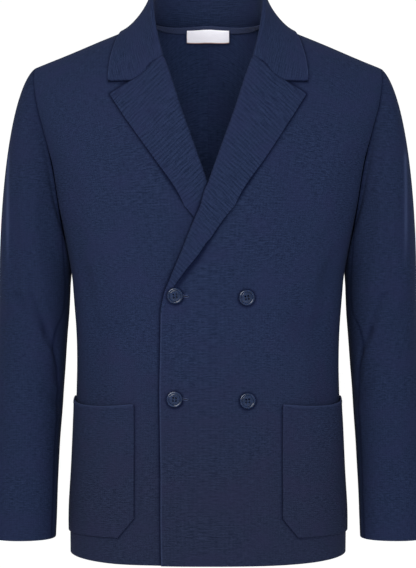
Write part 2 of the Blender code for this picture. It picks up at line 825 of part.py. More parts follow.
def build_sleeve(upper_name, under_name, side):
    """Upper and under panel of one sleeve, from the armhole to the cuff."""
    rows, numbers = sleeve_grid(side)
    normals = grid_normals(rows, True)
    if normals[CAP_ROWS][UNDER_ROWS_BACK + ARMHOLE_ROWS // 2].x < 0:
        normals = [[-normal for normal in line] for line in normals]
    _, loop_normals, _ = armhole_loop()
    normals[0] = [loop_normals[number] for number in numbers]
    middles = [
        mirrored([p - n * CLOTH / 2 for p, n in zip(line, normal_line)], side)
        for line, normal_line in zip(rows, normals)
    ]
    faces = [mirrored(line, side) for line in normals]
    split = 2 * ARMHOLE_ROWS - UNDER_ROWS_FRONT - UNDER_ROWS_BACK
    seams = sewn("first_row", "first_column", "last_column")
    for name, start, stop in ((upper_name, 0, split + 1), (under_name, split, None)):
        panel = [list(line[start:stop]) for line in middles]
        panel_faces = [list(line[start:stop]) for line in faces]
        make_wall(name, panel, panel_faces, CLOTH, seams)


def roll_section(edge, normal, off, height, steps):
    """Half turn of cloth from a panel's edge, over its roll, to lie on the panel."""
    low = -CLOTH / 2
    radius = (height - low) / 2
    middle = edge + normal * (low + radius)
    middles = []
    faces = []
    for step in range(steps + 1):
        turn = math.pi * step / steps - math.pi / 2
        face = off * math.cos(turn) + normal * math.sin(turn)
        middles.append(middle + face * radius)
        faces.append(face)
    return middles, faces


def edge_frame(places, number, face, side):
    """Point, direction and outward direction of a panel's free edge on the left."""
    point, normal = cloth_point(*places[number], face, side, 0.0)
    before = cloth_point(*places[max(number - 1, 0)], face, side, 0.0)[0]
    after = cloth_point(*places[min(number + 1, len(places) - 1)], face, side, 0.0)[0]
    off = (after - before).cross(normal).normalized()
    return point, normal, off


def gorge_places():
    """Places along the gorge seam from the roll line to the notch."""
    return along_curve([locate(point.x, point.z, FRONT) for point in GORGE], GORGE_STEPS, FRONT)


def line_places(start, end, steps):
    """Places on a straight line between two points seen from the front."""
    places = []
    for step in range(steps + 1):
        u = step / steps
        x = start.x + (end.x - start.x) * u
        places.append(locate(x, start.z + (end.z - start.z) * u, FRONT))
    return places


def settle(number, height):
    """Height on a front, a number of columns past the roll, of what lies there."""
    return ROLL_HEIGHT + (height - ROLL_HEIGHT) * ease(0, SETTLE_STEPS, number)


def build_lapel(name, side):
    """Turned-back lapel: round the roll line, then flat on the front to its edge."""
    roll = roll_places()[1:]
    rows = len(roll) - 1
    edge = along_curve([locate(p.x, p.z, FRONT) for p in LAPEL_EDGE], rows, FRONT)
    top = gorge_places() + line_places(GORGE[-1], LAPEL_TIP, TIP_STEPS)[1:]
    bottom = along_curve([roll[0], edge[0]], len(top) - 1, FRONT)
    flat = patch(roll, edge, bottom, top)
    middles = []
    faces = []
    for row in range(rows + 1):
        point, normal, off = edge_frame(roll, row, FRONT, side)
        if off.x > 0:
            off.negate()
        line, line_faces = roll_section(point, normal, off, ROLL_HEIGHT, ROLL_STEPS)
        for column in range(1, len(top)):
            height = settle(column, LAPEL_HEIGHT)
            point, normal = cloth_point(*flat[row][column], FRONT, side, height)
            line.append(point)
            line_faces.append(normal)
        middles.append(mirrored(line, side))
        faces.append(mirrored(line_faces, side))
    seams = {"first_column": SEAM_GAP, "last_row": SEAM_GAP / 2}
    make_wall(name, middles, faces, LAPEL_CLOTH, seams)


def curve_point(start, leave, arrive, end, u):
    """Point of a cubic curve with two handles."""
    curve = start * (1 - u) ** 3 + leave * 3 * u * (1 - u) ** 2
    return curve + arrive * 3 * u * u * (1 - u) + end * u**3


def collar_edge(along):
    """Point and direction of the cloth under the collar's outer edge."""
    x, y, z = (smooth(COLLAR, "along", column, along) for column in ("edge_x", "edge_y", "edge_z"))
    if y < 0:
        shown = min(z, shoulder_line(x))
        return cloth_point(*locate(x, shown, FRONT), FRONT, LEFT, COLLAR_HEIGHT)
    return cloth_point(*locate_back(x, y), BACK, LEFT, COLLAR_HEIGHT)


def collar_column(along, seam_point, normal, off):
    """Section of the collar from the neck seam up the stand and down the fall."""
    fold = Vector(
        [smooth(COLLAR, "along", column, along) for column in ("fold_x", "fold_y", "fold_z")]
    )
    start = seam_point - normal * CLOTH / 2
    up = (fold - start).normalized()
    out = (normal - up * normal.dot(up)).normalized()
    middle = fold - up * COLLAR_FOLD_RADIUS
    inner = middle - out * COLLAR_FOLD_RADIUS
    rise = (inner - start).length
    leave = start + off * rise * COLLAR_LEAVE
    arrive = inner - up * rise * COLLAR_ARRIVE
    middles = []
    for step in range(STAND_STEPS):
        middles.append(curve_point(start, leave, arrive, inner, step / STAND_STEPS))
    last_turn = math.pi * (1 - COLLAR_TURN_SHORT * ease(0, COLLAR_TURN_END, along))
    for step in range(FOLD_STEPS + 1):
        turn = last_turn * step / FOLD_STEPS
        radius = up * math.sin(turn) - out * math.cos(turn)
        middles.append(middle + radius * COLLAR_FOLD_RADIUS)
    outer = middles[-1]
    away = (out * math.sin(last_turn) + up * math.cos(last_turn)).normalized()
    edge, edge_normal = collar_edge(along)
    reach = (edge - outer).length
    back = outer - edge
    landing = 1.0 - COLLAR_HANG * ease(COLLAR_HANG_START, COLLAR_HANG_END, along)
    back = (back - edge_normal * back.dot(edge_normal) * landing).normalized()
    leave = outer + away * reach * COLLAR_LEAVE
    arrive = edge + back * reach * COLLAR_ARRIVE
    for step in range(1, FALL_STEPS + 1):
        middles.append(curve_point(outer, leave, arrive, edge, step / FALL_STEPS))
    return middles


def collar_end():
    """Section of the collar along the gorge seam and its free lower edge."""
    places = gorge_places()
    seam = front_neck_places()
    point, normal, off = edge_frame(seam, 0, FRONT, LEFT)
    if off.x > 0:
        off.negate()
    steps = STAND_STEPS + FOLD_STEPS
    middles, _ = roll_section(point, normal, off, ROLL_HEIGHT, steps)
    flat = places[1:] + line_places(GORGE[-1], COLLAR_CORNER, TIP_STEPS)[1:]
    for number, place in enumerate(flat, 1):
        height = settle(number, COLLAR_HEIGHT)
        middles.append(cloth_point(*place, FRONT, LEFT, height)[0])
    return middles


def build_collar(name):
    """Collar in one rolled piece from gorge to gorge round the back of the neck."""
    front = front_neck_places()
    back = list(reversed(back_neck_places()))
    lengths = [0.0]
    frames = []
    for places, face in ((front, FRONT), (back, BACK)):
        for number in range(len(places)):
            frame = edge_frame(places, number, face, LEFT)
            if frames and (frame[0] - frames[-1][0]).length < SEAM_GAP:
                continue
            if frames:
                lengths.append(lengths[-1] + (frame[0] - frames[-1][0]).length)
            frames.append(frame)
    half = [collar_end()]
    for length, (point, normal, off) in list(zip(lengths, frames))[1:]:
        if off.dot(Vector((0, 0, COLLAR_AIM)) - point) < 0:
            off.negate()
        half.append(collar_column(length / lengths[-1], point, normal, off))
    for point in half[-1]:
        point.x = 0
    columns = half + [mirrored(line, RIGHT) for line in reversed(half[:-1])]
    faces = grid_normals(columns, False)
    top = STAND_STEPS + FOLD_STEPS // 2
    middle = len(columns) // 2
    if faces[middle][top].z < 0:
        faces = [[-normal for normal in line] for line in faces]
    for column, (_, normal, _) in enumerate(frames):
        faces[column][0] = -normal
        faces[-1 - column][0] = mirrored([-normal], RIGHT)[0]
    seams = sewn("first_row", "last_row")
    seams["first_column"] = SEAM_GAP
    make_wall(name, columns, faces, COLLAR_CLOTH, seams)


def build_pocket(name, side):
    """Patch pocket with a cut corner, on the front's points moved out."""
    corner = EdgePoint(POCKET_INNER_X, POCKET_CHAMFER_Z)
    foot = EdgePoint(POCKET_CHAMFER_X, POCKET_BOTTOM_Z)
    left = line_places(foot, corner, POCKET_CUT_ROWS)
    left += line_places(corner, EdgePoint(POCKET_INNER_X, POCKET_TOP_Z), POCKET_ROWS)[1:]
    right = [(POCKET_OUTER_ANGLE, level) for _, level in left]
    bottom = along_curve([left[0], right[0]], POCKET_COLUMNS, FRONT)
    top = along_curve([left[-1], right[-1]], POCKET_COLUMNS, FRONT)
    places = patch(left, right, bottom, top)
    middles = []
    faces = []
    for i, row in enumerate(places):
        line = []
        line_faces = []
        rise = math.sin(math.pi * i / (POCKET_ROWS + POCKET_CUT_ROWS))
        for j, place in enumerate(row):
            bulge = rise * math.sin(math.pi * j / POCKET_COLUMNS)
            height = POCKET_HEIGHT + POCKET_BULGE * bulge
            point, normal = cloth_point(*place, FRONT, side, height)
            line.append(point)
            line_faces.append(normal)
        middles.append(mirrored(line, side))
        faces.append(mirrored(line_faces, side))
    make_wall(name, middles, faces, CLOTH)


def cut_hole(target, x, y):
    """Cuts one thread hole through a button."""
    maker = bmesh.new()
    bmesh.ops.create_cone(
        maker, cap_ends=True, segments=HOLE_SIDES, radius1=HOLE_RADIUS, radius2=HOLE_RADIUS,
        depth=4 * BUTTON_RIM_HEIGHT, matrix=Matrix.Translation((x, y, 0)),
    )
    cutter = make_object(f"cutter_{target.name}_{x:+.1f}_{y:+.1f}", maker, NAVY_BUTTON)
    cutter.hide_render = True
    cutter.display_type = "WIRE"
    cutter.matrix_world = target.matrix_world
    cut = target.modifiers.new("hole", "BOOLEAN")
    cut.object = cutter
    cut.operation = "DIFFERENCE"
    cut.solver = "EXACT"


def build_button(place):
    """Four-hole button with a raised rim, flat on the wearer's left front."""
    profile = (
        (0.0, 0.0),
        (BUTTON_RIM, 0.0),
        (BUTTON_RADIUS, BUTTON_CHAMFER),
        (BUTTON_RADIUS, BUTTON_EDGE_HEIGHT),
        (BUTTON_RIM, BUTTON_RIM_HEIGHT),
        (BUTTON_WELL, BUTTON_WELL_HEIGHT),
        (0.0, BUTTON_WELL_HEIGHT),
    )
    maker = bmesh.new()
    corners = [maker.verts.new((radius, 0, height)) for radius, height in profile]
    edges = [maker.edges.new(pair) for pair in zip(corners, corners[1:])]
    bmesh.ops.spin(
        maker, geom=corners + edges, axis=(0, 0, 1), cent=(0, 0, 0),
        steps=BUTTON_SIDES, angle=2 * math.pi, use_merge=True,
    )
    bmesh.ops.remove_doubles(maker, verts=maker.verts, dist=0.01)
    button = make_object(place.name, maker, NAVY_BUTTON)
    angle, level = locate(place.x, place.z, FRONT)
    point, normal = cloth_point(angle, level, FRONT, LEFT, BUTTON_LIFT)
    turn = normal.to_track_quat("Z", "Y").to_matrix().to_4x4()
    button.matrix_world = Matrix.Translation(point * MM) @ turn
    for x in (-HOLE_REACH, HOLE_REACH):
        for y in (-HOLE_REACH, HOLE_REACH):
            cut_hole(button, x, y)


def below_neck(place, drop, height):
    """Point and direction on the inside of the back, a drop below its neck seam."""
    top = cloth_point(*place, BACK, LEFT, 0.0)[0]
    level = place[1]
    for _ in range(30):
        there = cloth_point(place[0], level, BACK, LEFT, 0.0)[0]
        level -= drop - (top - there).length
    return cloth_point(place[0], level, BACK, LEFT, height)


def build_neck_strip(name, places, drops, height, finish):
    """Strip inside the back neck, under neck places of the wearer's left, mirrored."""
    middles = []
    faces = []
    for drop in drops:
        pairs = [below_neck(place, drop, height) for place in reversed(places)]
        points = [point for point, _ in pairs]
        normals = [normal for _, normal in pairs]
        right = mirrored(list(reversed(points[:-1])), RIGHT)
        right_normals = mirrored(list(reversed(normals[:-1])), RIGHT)
        middles.append(points + right)
        faces.append(normals + right_normals)
    make_wall(name, middles, faces, TRIM_CLOTH, finish=finish)


def label_places():
    """Neck places from the middle to the end of the label, at even distances."""
    neck = along_curve(back_neck_places(), 60, BACK)
    half = LABEL_COLUMNS // 2
    places = []
    for column in range(half + 1):
        wanted = LABEL_HALF * column / half
        places.append(min(neck, key=lambda place: abs(plain_point(*place, BACK).x - wanted)))
    return places


def main():
    """Clears the scene and builds every piece."""
    for old in list(bpy.data.objects):
        bpy.data.objects.remove(old, do_unlink=True)
    for word, side in (("left", LEFT), ("right", RIGHT)):
        build_front(f"front_{word}", side)
        build_back(f"back_{word}", side)
        build_sleeve(f"sleeve_upper_{word}", f"sleeve_under_{word}", side)
        build_lapel(f"lapel_{word}", side)
        build_pocket(f"pocket_{word}", side)
    build_collar("collar")
    for place in BUTTONS:
        build_button(place)
    tape_drops = (TAPE_TOP, TAPE_BOTTOM)
    build_neck_strip("neck_tape", back_neck_places()[:-1], tape_drops, TAPE_HEIGHT, NAVY_TAPE)
    label_drops = (LABEL_TOP, LABEL_BOTTOM)
    build_neck_strip("neck_label", label_places(), label_drops, LABEL_HEIGHT, PALE_LABEL)


main()
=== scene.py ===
"""Looks of a double-breasted knit blazer, worn and hollow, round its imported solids.

The frame is +Z up with the front facing -Y, and the origin is the middle of the neck
base. Sizes below are in millimetres; meshes are made in metres. Every cloth piece is a
thin shell on the form of its solid. The body is read by an angle round it (0 at the
centre, a quarter turn at the side) and a level (the height up to the chest, and from
there on the way up over the shoulder).
"""

from __future__ import annotations

import logging
import math
from collections.abc import Callable, Mapping, Sequence
from dataclasses import dataclass, field
from enum import Enum
from typing import NamedTuple

import bpy
import numpy as np
from mathutils import Matrix, Vector

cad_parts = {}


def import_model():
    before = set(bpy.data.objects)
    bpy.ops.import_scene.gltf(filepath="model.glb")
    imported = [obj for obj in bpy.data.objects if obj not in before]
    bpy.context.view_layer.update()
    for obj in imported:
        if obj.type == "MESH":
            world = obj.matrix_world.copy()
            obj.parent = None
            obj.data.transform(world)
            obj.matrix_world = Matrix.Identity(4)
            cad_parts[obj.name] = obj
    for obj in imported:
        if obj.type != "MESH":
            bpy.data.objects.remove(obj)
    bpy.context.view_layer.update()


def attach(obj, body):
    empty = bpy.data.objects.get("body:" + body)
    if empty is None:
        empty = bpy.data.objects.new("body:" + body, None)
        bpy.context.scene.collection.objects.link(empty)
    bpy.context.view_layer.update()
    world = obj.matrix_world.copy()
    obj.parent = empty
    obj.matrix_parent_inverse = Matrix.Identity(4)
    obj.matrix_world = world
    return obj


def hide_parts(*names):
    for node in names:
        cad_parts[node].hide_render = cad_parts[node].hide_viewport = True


LOG = logging.getLogger("blazer")
MM = 0.001
UV_NAME = "cloth"
# Name of the marks kept on each point: painted shade where positive, painted highlight where
# negative.
PAINTED_LIGHT_LAYER = "recess"
BODY = "root"

TINY = 1e-9
FAR = 1e9
MAP_STEP = 500.0
GIRTH_SCALE = 165.0
SHADE_START = 0.3
SHADE_MOST = 2.0
CROWDED = (0.0, 0.7, 1.6, 2.8, 4.4, 6.6)

Colour = tuple[float, float, float]
Spot = tuple[float, float]
Curve = Callable[[np.ndarray], np.ndarray]


class Side(Enum):
    """Side of the jacket as its wearer has it."""

    LEFT = 1
    RIGHT = -1

    @property
    def word(self) -> str:
        """The side as names of pieces have it."""
        return self.name.lower()

    @property
    def index(self) -> int:
        """0 for the left and 1 for the right."""
        return int(self is Side.RIGHT)


class Face(Enum):
    """Front or back of the body."""

    FRONT = -1
    BACK = 1

    @property
    def word(self) -> str:
        """The face as names of pieces have it."""
        return self.name.lower()


class Edge(Enum):
    """Border of a grid of cloth."""

    FIRST_ROW = "first row"
    LAST_ROW = "last row"
    FIRST_COLUMN = "first column"
    LAST_COLUMN = "last column"


class Seen(Enum):
    """What a lamp acts on: lit matt cloth or mirrors of polished pieces."""

    CLOTH = "cloth"
    GLOSS = "gloss"


class BodySection(NamedTuple):
    """Section of the body: height, half width, front and back depth."""

    z: float
    half: float
    front: float
    back: float


class ArmSection(NamedTuple):
    """Section of the arm: height, centre, half sizes and turns of its two seams."""

    z: float
    x: float
    y: float
    half_width: float
    half_depth: float
    front_seam: float
    back_seam: float


class CollarColumn(NamedTuple):
    """Collar at a place along the neck seam: top of its fold and outer edge."""

    along: float
    fold_x: float
    fold_y: float
    fold_z: float
    edge_x: float
    edge_y: float
    edge_z: float


class Crease(NamedTuple):
    """Soft trough in cloth with a ridge on one side, between two places.

    On the body a place is the distance from the middle and the height, on a sleeve
    the turn round the arm in degrees and the height.
    """

    x0: float
    z0: float
    x1: float
    z1: float
    width: float
    depth: float
    ridge: float = 0.0


class LapLayer(NamedTuple):
    """Distance of the two fronts from the body surface at a height."""

    z: float
    top: float
    under: float


class Grain(NamedTuple):
    """Noise on cloth: cells for each millimetre across and up, and how it is worked."""

    across: float
    up: float
    detail: float = 2.0
    rough: float = 0.5
    scale: float = 1.0


class ButtonPlace(NamedTuple):
    """Button's node, the place of its centre and the turn of its holes in degrees."""

    node: str
    x: float
    z: float
    turn: float


def ease(low: float, high: float, at: np.ndarray | float) -> np.ndarray:
    """0 below low, 1 above high, smooth between."""
    u = np.clip((np.asarray(at, float) - low) / (high - low), 0, 1)
    return u * u * (3 - 2 * u)


def unit(vectors: np.ndarray) -> np.ndarray:
    """The vectors at length 1."""
    return vectors / np.maximum(np.linalg.norm(vectors, axis=-1, keepdims=True), TINY)


def mirrored(vectors: np.ndarray, side: Side) -> np.ndarray:
    """The vectors on the wearer's left, or their mirror images on the right."""
    return vectors * np.array([side.value, 1.0, 1.0])


def lengths(points: np.ndarray, axis: int = 0) -> np.ndarray:
    """Lengths along a line or a grid of points.

    Args:
        points: Points in a row, or in rows and columns.
        axis: 0 to go from row to row, 1 to go from column to column.

    Returns:
        Length to each point, from 0 at the first.
    """
    steps = np.linalg.norm(np.diff(points, axis=axis), axis=-1)
    start = np.zeros_like(np.take(steps, [0], axis=axis))
    return np.concatenate([start, np.cumsum(steps, axis=axis)], axis=axis)


def spread(uv: np.ndarray, number: int) -> np.ndarray:
    """Map of a piece, moved aside so that no two pieces have the same stretch of knit."""
    return uv + np.array([MAP_STEP * number, 0.0])


def cubic(ends: Sequence[np.ndarray], u: np.ndarray | float) -> np.ndarray:
    """Point of a cubic curve.

    Args:
        ends: Start, its handle, the end's handle and the end.
        u: Share of the way, broadcast against the points.

    Returns:
        The points on the curve.
    """
    start, leave, arrive, end = ends
    near = start * (1 - u) ** 3 + leave * 3 * u * (1 - u) ** 2
    return near + arrive * 3 * u * u * (1 - u) + end * u**3


def graded(length: float, spacing: float, start: bool = True, end: bool = True) -> np.ndarray:
    """Shares of a length, closer together near the ends that need it.

    Args:
        length: Length in millimetres.
        spacing: Distance of the places away from the ends.
        start: Whether the places crowd at the start.
        end: Whether they crowd at the end.

    Returns:
        Rising shares from 0 to 1.
    """
    near = np.array(CROWDED)
    low = near if start else np.array([0.0])
    high = length - near[::-1] if end else np.array([length])
    count = max(int(round((high[0] - low[-1]) / spacing)), 2)
    middle = np.linspace(low[-1], high[0], count + 1)
    return np.concatenate([low[:-1], middle, high[1:]]) / length


class Spline:
    """Smooth curve through pairs of a key and a value."""

    def __init__(self, pairs: Sequence[Spot]) -> None:
        """Sorts the pairs and works out the slopes at them."""
        table = np.array(sorted(pairs), float)
        self.keys, self.values = table[:, 0], table[:, 1]
        last = len(self.keys) - 1
        low = np.maximum(np.arange(last + 1) - 1, 0)
        high = np.minimum(np.arange(last + 1) + 1, last)
        self.slopes = (self.values[high] - self.values[low]) / (self.keys[high] - self.keys[low])

    def __call__(self, at: np.ndarray | float) -> np.ndarray:
        """Value at a key, held level past the ends."""
        at = np.clip(np.asarray(at, float), self.keys[0], self.keys[-1])
        i = np.clip(np.searchsorted(self.keys, at) - 1, 0, len(self.keys) - 2)
        span = self.keys[i + 1] - self.keys[i]
        u = (at - self.keys[i]) / span
        start = self.values[i] * (2 * u**3 - 3 * u**2 + 1)
        start = start + self.slopes[i] * span * (u**3 - 2 * u**2 + u)
        end = self.values[i + 1] * (3 * u**2 - 2 * u**3)
        return start + end + self.slopes[i + 1] * span * (u**3 - u**2)


class Creases:
    """Soft troughs and ridges of one face of the cloth."""

    fade = 0.20
    ridge_off = 1.5

    def __init__(self, rows: Sequence[Crease], across_scale: float = 1.0) -> None:
        """Keeps the rows.

        Args:
            rows: The creases.
            across_scale: Millimetres for one unit of a crease's x.
        """
        self.rows = rows
        self.scale = across_scale

    def depth(self, x: np.ndarray, z: np.ndarray) -> np.ndarray:
        """Depth of all creases together at places of the cloth."""
        total = np.zeros(np.broadcast(x, z).shape)
        for row in self.rows:
            run_x, run_z = (row.x1 - row.x0) * self.scale, row.z1 - row.z0
            length = math.hypot(run_x, run_z)
            off_x, off_z = (x - row.x0) * self.scale, z - row.z0
            along = (off_x * run_x + off_z * run_z) / length**2
            across = (off_x * run_z - off_z * run_x) / length
            past = np.maximum(0, np.abs(along - 0.5) - 0.5) / self.fade
            shape = np.exp(-((across / row.width) ** 2))
            shape -= row.ridge * np.exp(-((across / row.width - self.ridge_off) ** 2))
            total += row.depth * shape * np.exp(-(past**2))
        return total


@dataclass
class BodyForm:
    """General figure that fills the jacket, as one surface."""

    hem_z: float = -700
    hem_rise: float = 5
    underarm_z: float = -312
    chest_z: float = -242
    squareness: float = 2.5
    sections: tuple[BodySection, ...] = (
        BodySection(-700, 182.8, 115, 113), BodySection(-642, 182.5, 115, 113),
        BodySection(-582, 179.0, 113, 110), BodySection(-489, 175.0, 111, 104),
        BodySection(-412, 174.7, 113, 103), BodySection(-342, 180.0, 118, 107),
        BodySection(-312, 184.0, 121, 110), BodySection(-275, 192.0, 123, 112),
        BodySection(-242, 200.5, 124, 113),
    )
    shoulder_halves: tuple[Spot, ...] = (
        (0.0, 200.5), (0.2, 210.0), (0.4, 220.5), (0.55, 229.0), (0.7, 236.5), (0.87, 242.0),
        (1.0, 243.0),
    )
    rise_levels: float = 310
    front_fullness: float = 2.2
    back_fullness: float = 2.6
    neck_half: float = 78
    neck_point_z: float = 6
    shoulder_slope: float = 0.410
    slope_rounding: float = 30
    nape_rise: float = 39
    nape_half: float = 95
    probe_turn: float = 0.004
    probe_rise: float = 1.0
    halvings: int = 40

    def __post_init__(self) -> None:
        """Makes the curves that the tables stand for."""
        self.top_level = self.chest_z + self.rise_levels
        self._half = Spline([(row.z, row.half) for row in self.sections])
        self._depth = {
            Face.FRONT: Spline([(row.z, row.front) for row in self.sections]),
            Face.BACK: Spline([(row.z, row.back) for row in self.sections]),
        }
        self._shoulder_half = Spline(self.shoulder_halves)

    def shoulder_line(self, x: np.ndarray | float) -> np.ndarray:
        """Height of the shoulder line at a distance from the middle."""
        run = np.hypot(x, self.slope_rounding) - math.hypot(self.neck_half, self.slope_rounding)
        mound = np.maximum(0, 1 - (np.asarray(x, float) / self.nape_half) ** 2) ** 2
        return self.neck_point_z - self.shoulder_slope * run + self.nape_rise * mound

    def fullness(self, face: Face) -> float:
        """Exponent of the profile from the chest over the shoulder."""
        return self.front_fullness if face is Face.FRONT else self.back_fullness

    def section(self, level: np.ndarray, face: Face) -> tuple[np.ndarray, np.ndarray, np.ndarray]:
        """Half width, depth and share of the rise at a level."""
        level = np.asarray(level, float)
        power = 2 / self.fullness(face)
        turn = np.clip((level - self.chest_z) / self.rise_levels, 0, 1) * math.pi / 2
        rise = np.sin(turn) ** power
        upper = level > self.chest_z
        chest_depth = float(self._depth[face](self.chest_z))
        half = np.where(upper, self._shoulder_half(rise), self._half(level))
        lean = np.maximum(np.cos(turn), 0) ** power * chest_depth
        depth = np.where(upper, lean, self._depth[face](level))
        return half, depth, np.where(upper, rise, 0.0)

    def point(self, places: np.ndarray, face: Face) -> np.ndarray:
        """Points of the surface at places of (angle, level)."""
        angle, level = places[..., 0], places[..., 1]
        half, depth, rise = self.section(level, face)
        power = 2 / self.squareness
        x = half * np.sign(angle) * np.abs(np.sin(angle)) ** power
        y = face.value * depth * np.maximum(np.cos(angle), 0) ** power
        over = self.chest_z + rise * (self.shoulder_line(x) - self.chest_z)
        return np.stack([x, y, np.where(level > self.chest_z, over, level)], axis=-1)

    def normal(self, places: np.ndarray, face: Face) -> np.ndarray:
        """Directions in which the surface faces."""
        angle, level = places[..., 0], places[..., 1]
        step, rise = self.probe_turn, self.probe_rise

        def at(turn: np.ndarray, height: np.ndarray) -> np.ndarray:
            return self.point(np.stack([turn, height], axis=-1), face)

        across = at(np.minimum(angle + step, math.pi / 2), level) - at(angle - step, level)
        up = at(angle, np.minimum(level + rise, self.top_level)) - at(angle, level - rise)
        return unit(np.cross(across, up) * -face.value)

    def locate(self, x: np.ndarray | float, z: np.ndarray | float, face: Face) -> np.ndarray:
        """Places in front of or behind points seen from the front."""
        x, z = np.broadcast_arrays(np.asarray(x, float), np.asarray(z, float))
        rise = np.clip((z - self.chest_z) / (self.shoulder_line(x) - self.chest_z), 0, 1)
        turn = np.arcsin(rise ** (self.fullness(face) / 2))
        upper = z > self.chest_z
        level = np.where(upper, self.chest_z + self.rise_levels * turn / (math.pi / 2), z)
        half = np.where(upper, self._shoulder_half(rise), self._half(z))
        share = np.minimum(np.abs(x) / half, 1)
        angle = np.sign(x) * np.arcsin(share ** (self.squareness / 2))
        return np.stack([angle, level], axis=-1)

    def locate_back(self, x: float, y: float) -> np.ndarray:
        """Place of the upper back under a point seen from above."""
        low, high = self.chest_z, self.top_level
        for _ in range(self.halvings):
            level = (low + high) / 2
            half, depth, _rise = self.section(level, Face.BACK)
            share = min(abs(x) / float(half), 1)
            there = float(depth) * (1 - share**self.squareness) ** (1 / self.squareness)
            low, high = (level, high) if there > y else (low, level)
        return np.array([math.copysign(math.asin(share ** (self.squareness / 2)), x), level])


def outside(points: np.ndarray, outline: Sequence[Spot]) -> np.ndarray:
    """Distance of points from a closed outline, both seen from the front.

    Args:
        points: Points of a front.
        outline: Places of (x, z) round it.

    Returns:
        The distances, negative inside the outline.
    """
    x, z = points[..., 0], points[..., 2]
    start = np.array(outline, float)
    run = np.roll(start, -1, axis=0) - start
    nearest = np.full(x.shape, FAR)
    inside = np.zeros(x.shape, bool)
    for (x0, z0), (dx, dz) in zip(start, run):
        share = np.clip(((x - x0) * dx + (z - z0) * dz) / max(dx * dx + dz * dz, TINY), 0, 1)
        nearest = np.minimum(nearest, np.hypot(x - x0 - share * dx, z - z0 - share * dz))
        crosses = (z0 > z) != (z0 + dz > z)
        inside ^= crosses & (x < x0 + (z - z0) * dx / (dz if dz else TINY))
    return np.where(inside, -nearest, nearest)


class PlaceCurve:
    """Smooth curve of places on the body, read by the share of its length."""

    steps = 40

    def __init__(self, form: BodyForm, places: Sequence[np.ndarray], face: Face) -> None:
        """Runs a curve through the places and measures it."""
        knots = np.array(places, float)
        spans = len(knots) - 1
        at = np.linspace(0, spans, spans * self.steps + 1)
        i = np.minimum(at.astype(int), spans - 1)
        u = (at - i)[:, None]
        a, b, c, d = (knots[np.clip(i + k, 0, spans)] for k in (-1, 0, 1, 2))
        dense = b + u * (c - a) / 2 + u * u * (a - 2.5 * b + 2 * c - d / 2)
        dense += u**3 * (1.5 * b - a / 2 - 1.5 * c + d / 2)
        dense[:, 1] = np.minimum(dense[:, 1], form.top_level)
        run = lengths(form.point(dense, face))
        self.length = float(run[-1])
        self.shares = run / self.length
        self.dense = dense

    def __call__(self, share: np.ndarray) -> np.ndarray:
        """Places at shares of the length."""
        share = np.asarray(share, float)
        return np.stack([np.interp(share, self.shares, self.dense[:, k]) for k in (0, 1)], axis=-1)


class JoinedCurve:
    """Several curves one after another, each over its own share of the whole."""

    def __init__(self, parts: Sequence[tuple[float, Curve]]) -> None:
        """Keeps the parts, each with the share at which it ends."""
        self.parts = parts

    def __call__(self, share: np.ndarray) -> np.ndarray:
        """Places at shares of the whole."""
        share = np.asarray(share, float)
        found = np.zeros((*share.shape, 2))
        start = 0.0
        for end, curve in self.parts:
            here = (share >= start) if end >= 1 else (share >= start) & (share < end)
            local = np.clip((share - start) / (end - start), 0, 1)
            found = np.where(here[..., None], curve(local), found)
            start = end
        return found


def coons(edges: Sequence[Curve], u: np.ndarray, v: np.ndarray) -> np.ndarray:
    """Places between four edges.

    Args:
        edges: Left, right, bottom and top edge.
        u: Shares across, one for each column.
        v: Shares up, one for each row.

    Returns:
        Places in rows and columns.
    """
    left, right, bottom, top = edges
    across, up = u[None, :, None], v[:, None, None]
    sides = (1 - across) * left(v)[:, None] + across * right(v)[:, None]
    ends = (1 - up) * bottom(u)[None] + up * top(u)[None]
    low = (1 - across) * bottom(np.array(0.0)) + across * bottom(np.array(1.0))
    high = (1 - across) * top(np.array(0.0)) + across * top(np.array(1.0))
    return sides + ends - (1 - up) * low - up * high


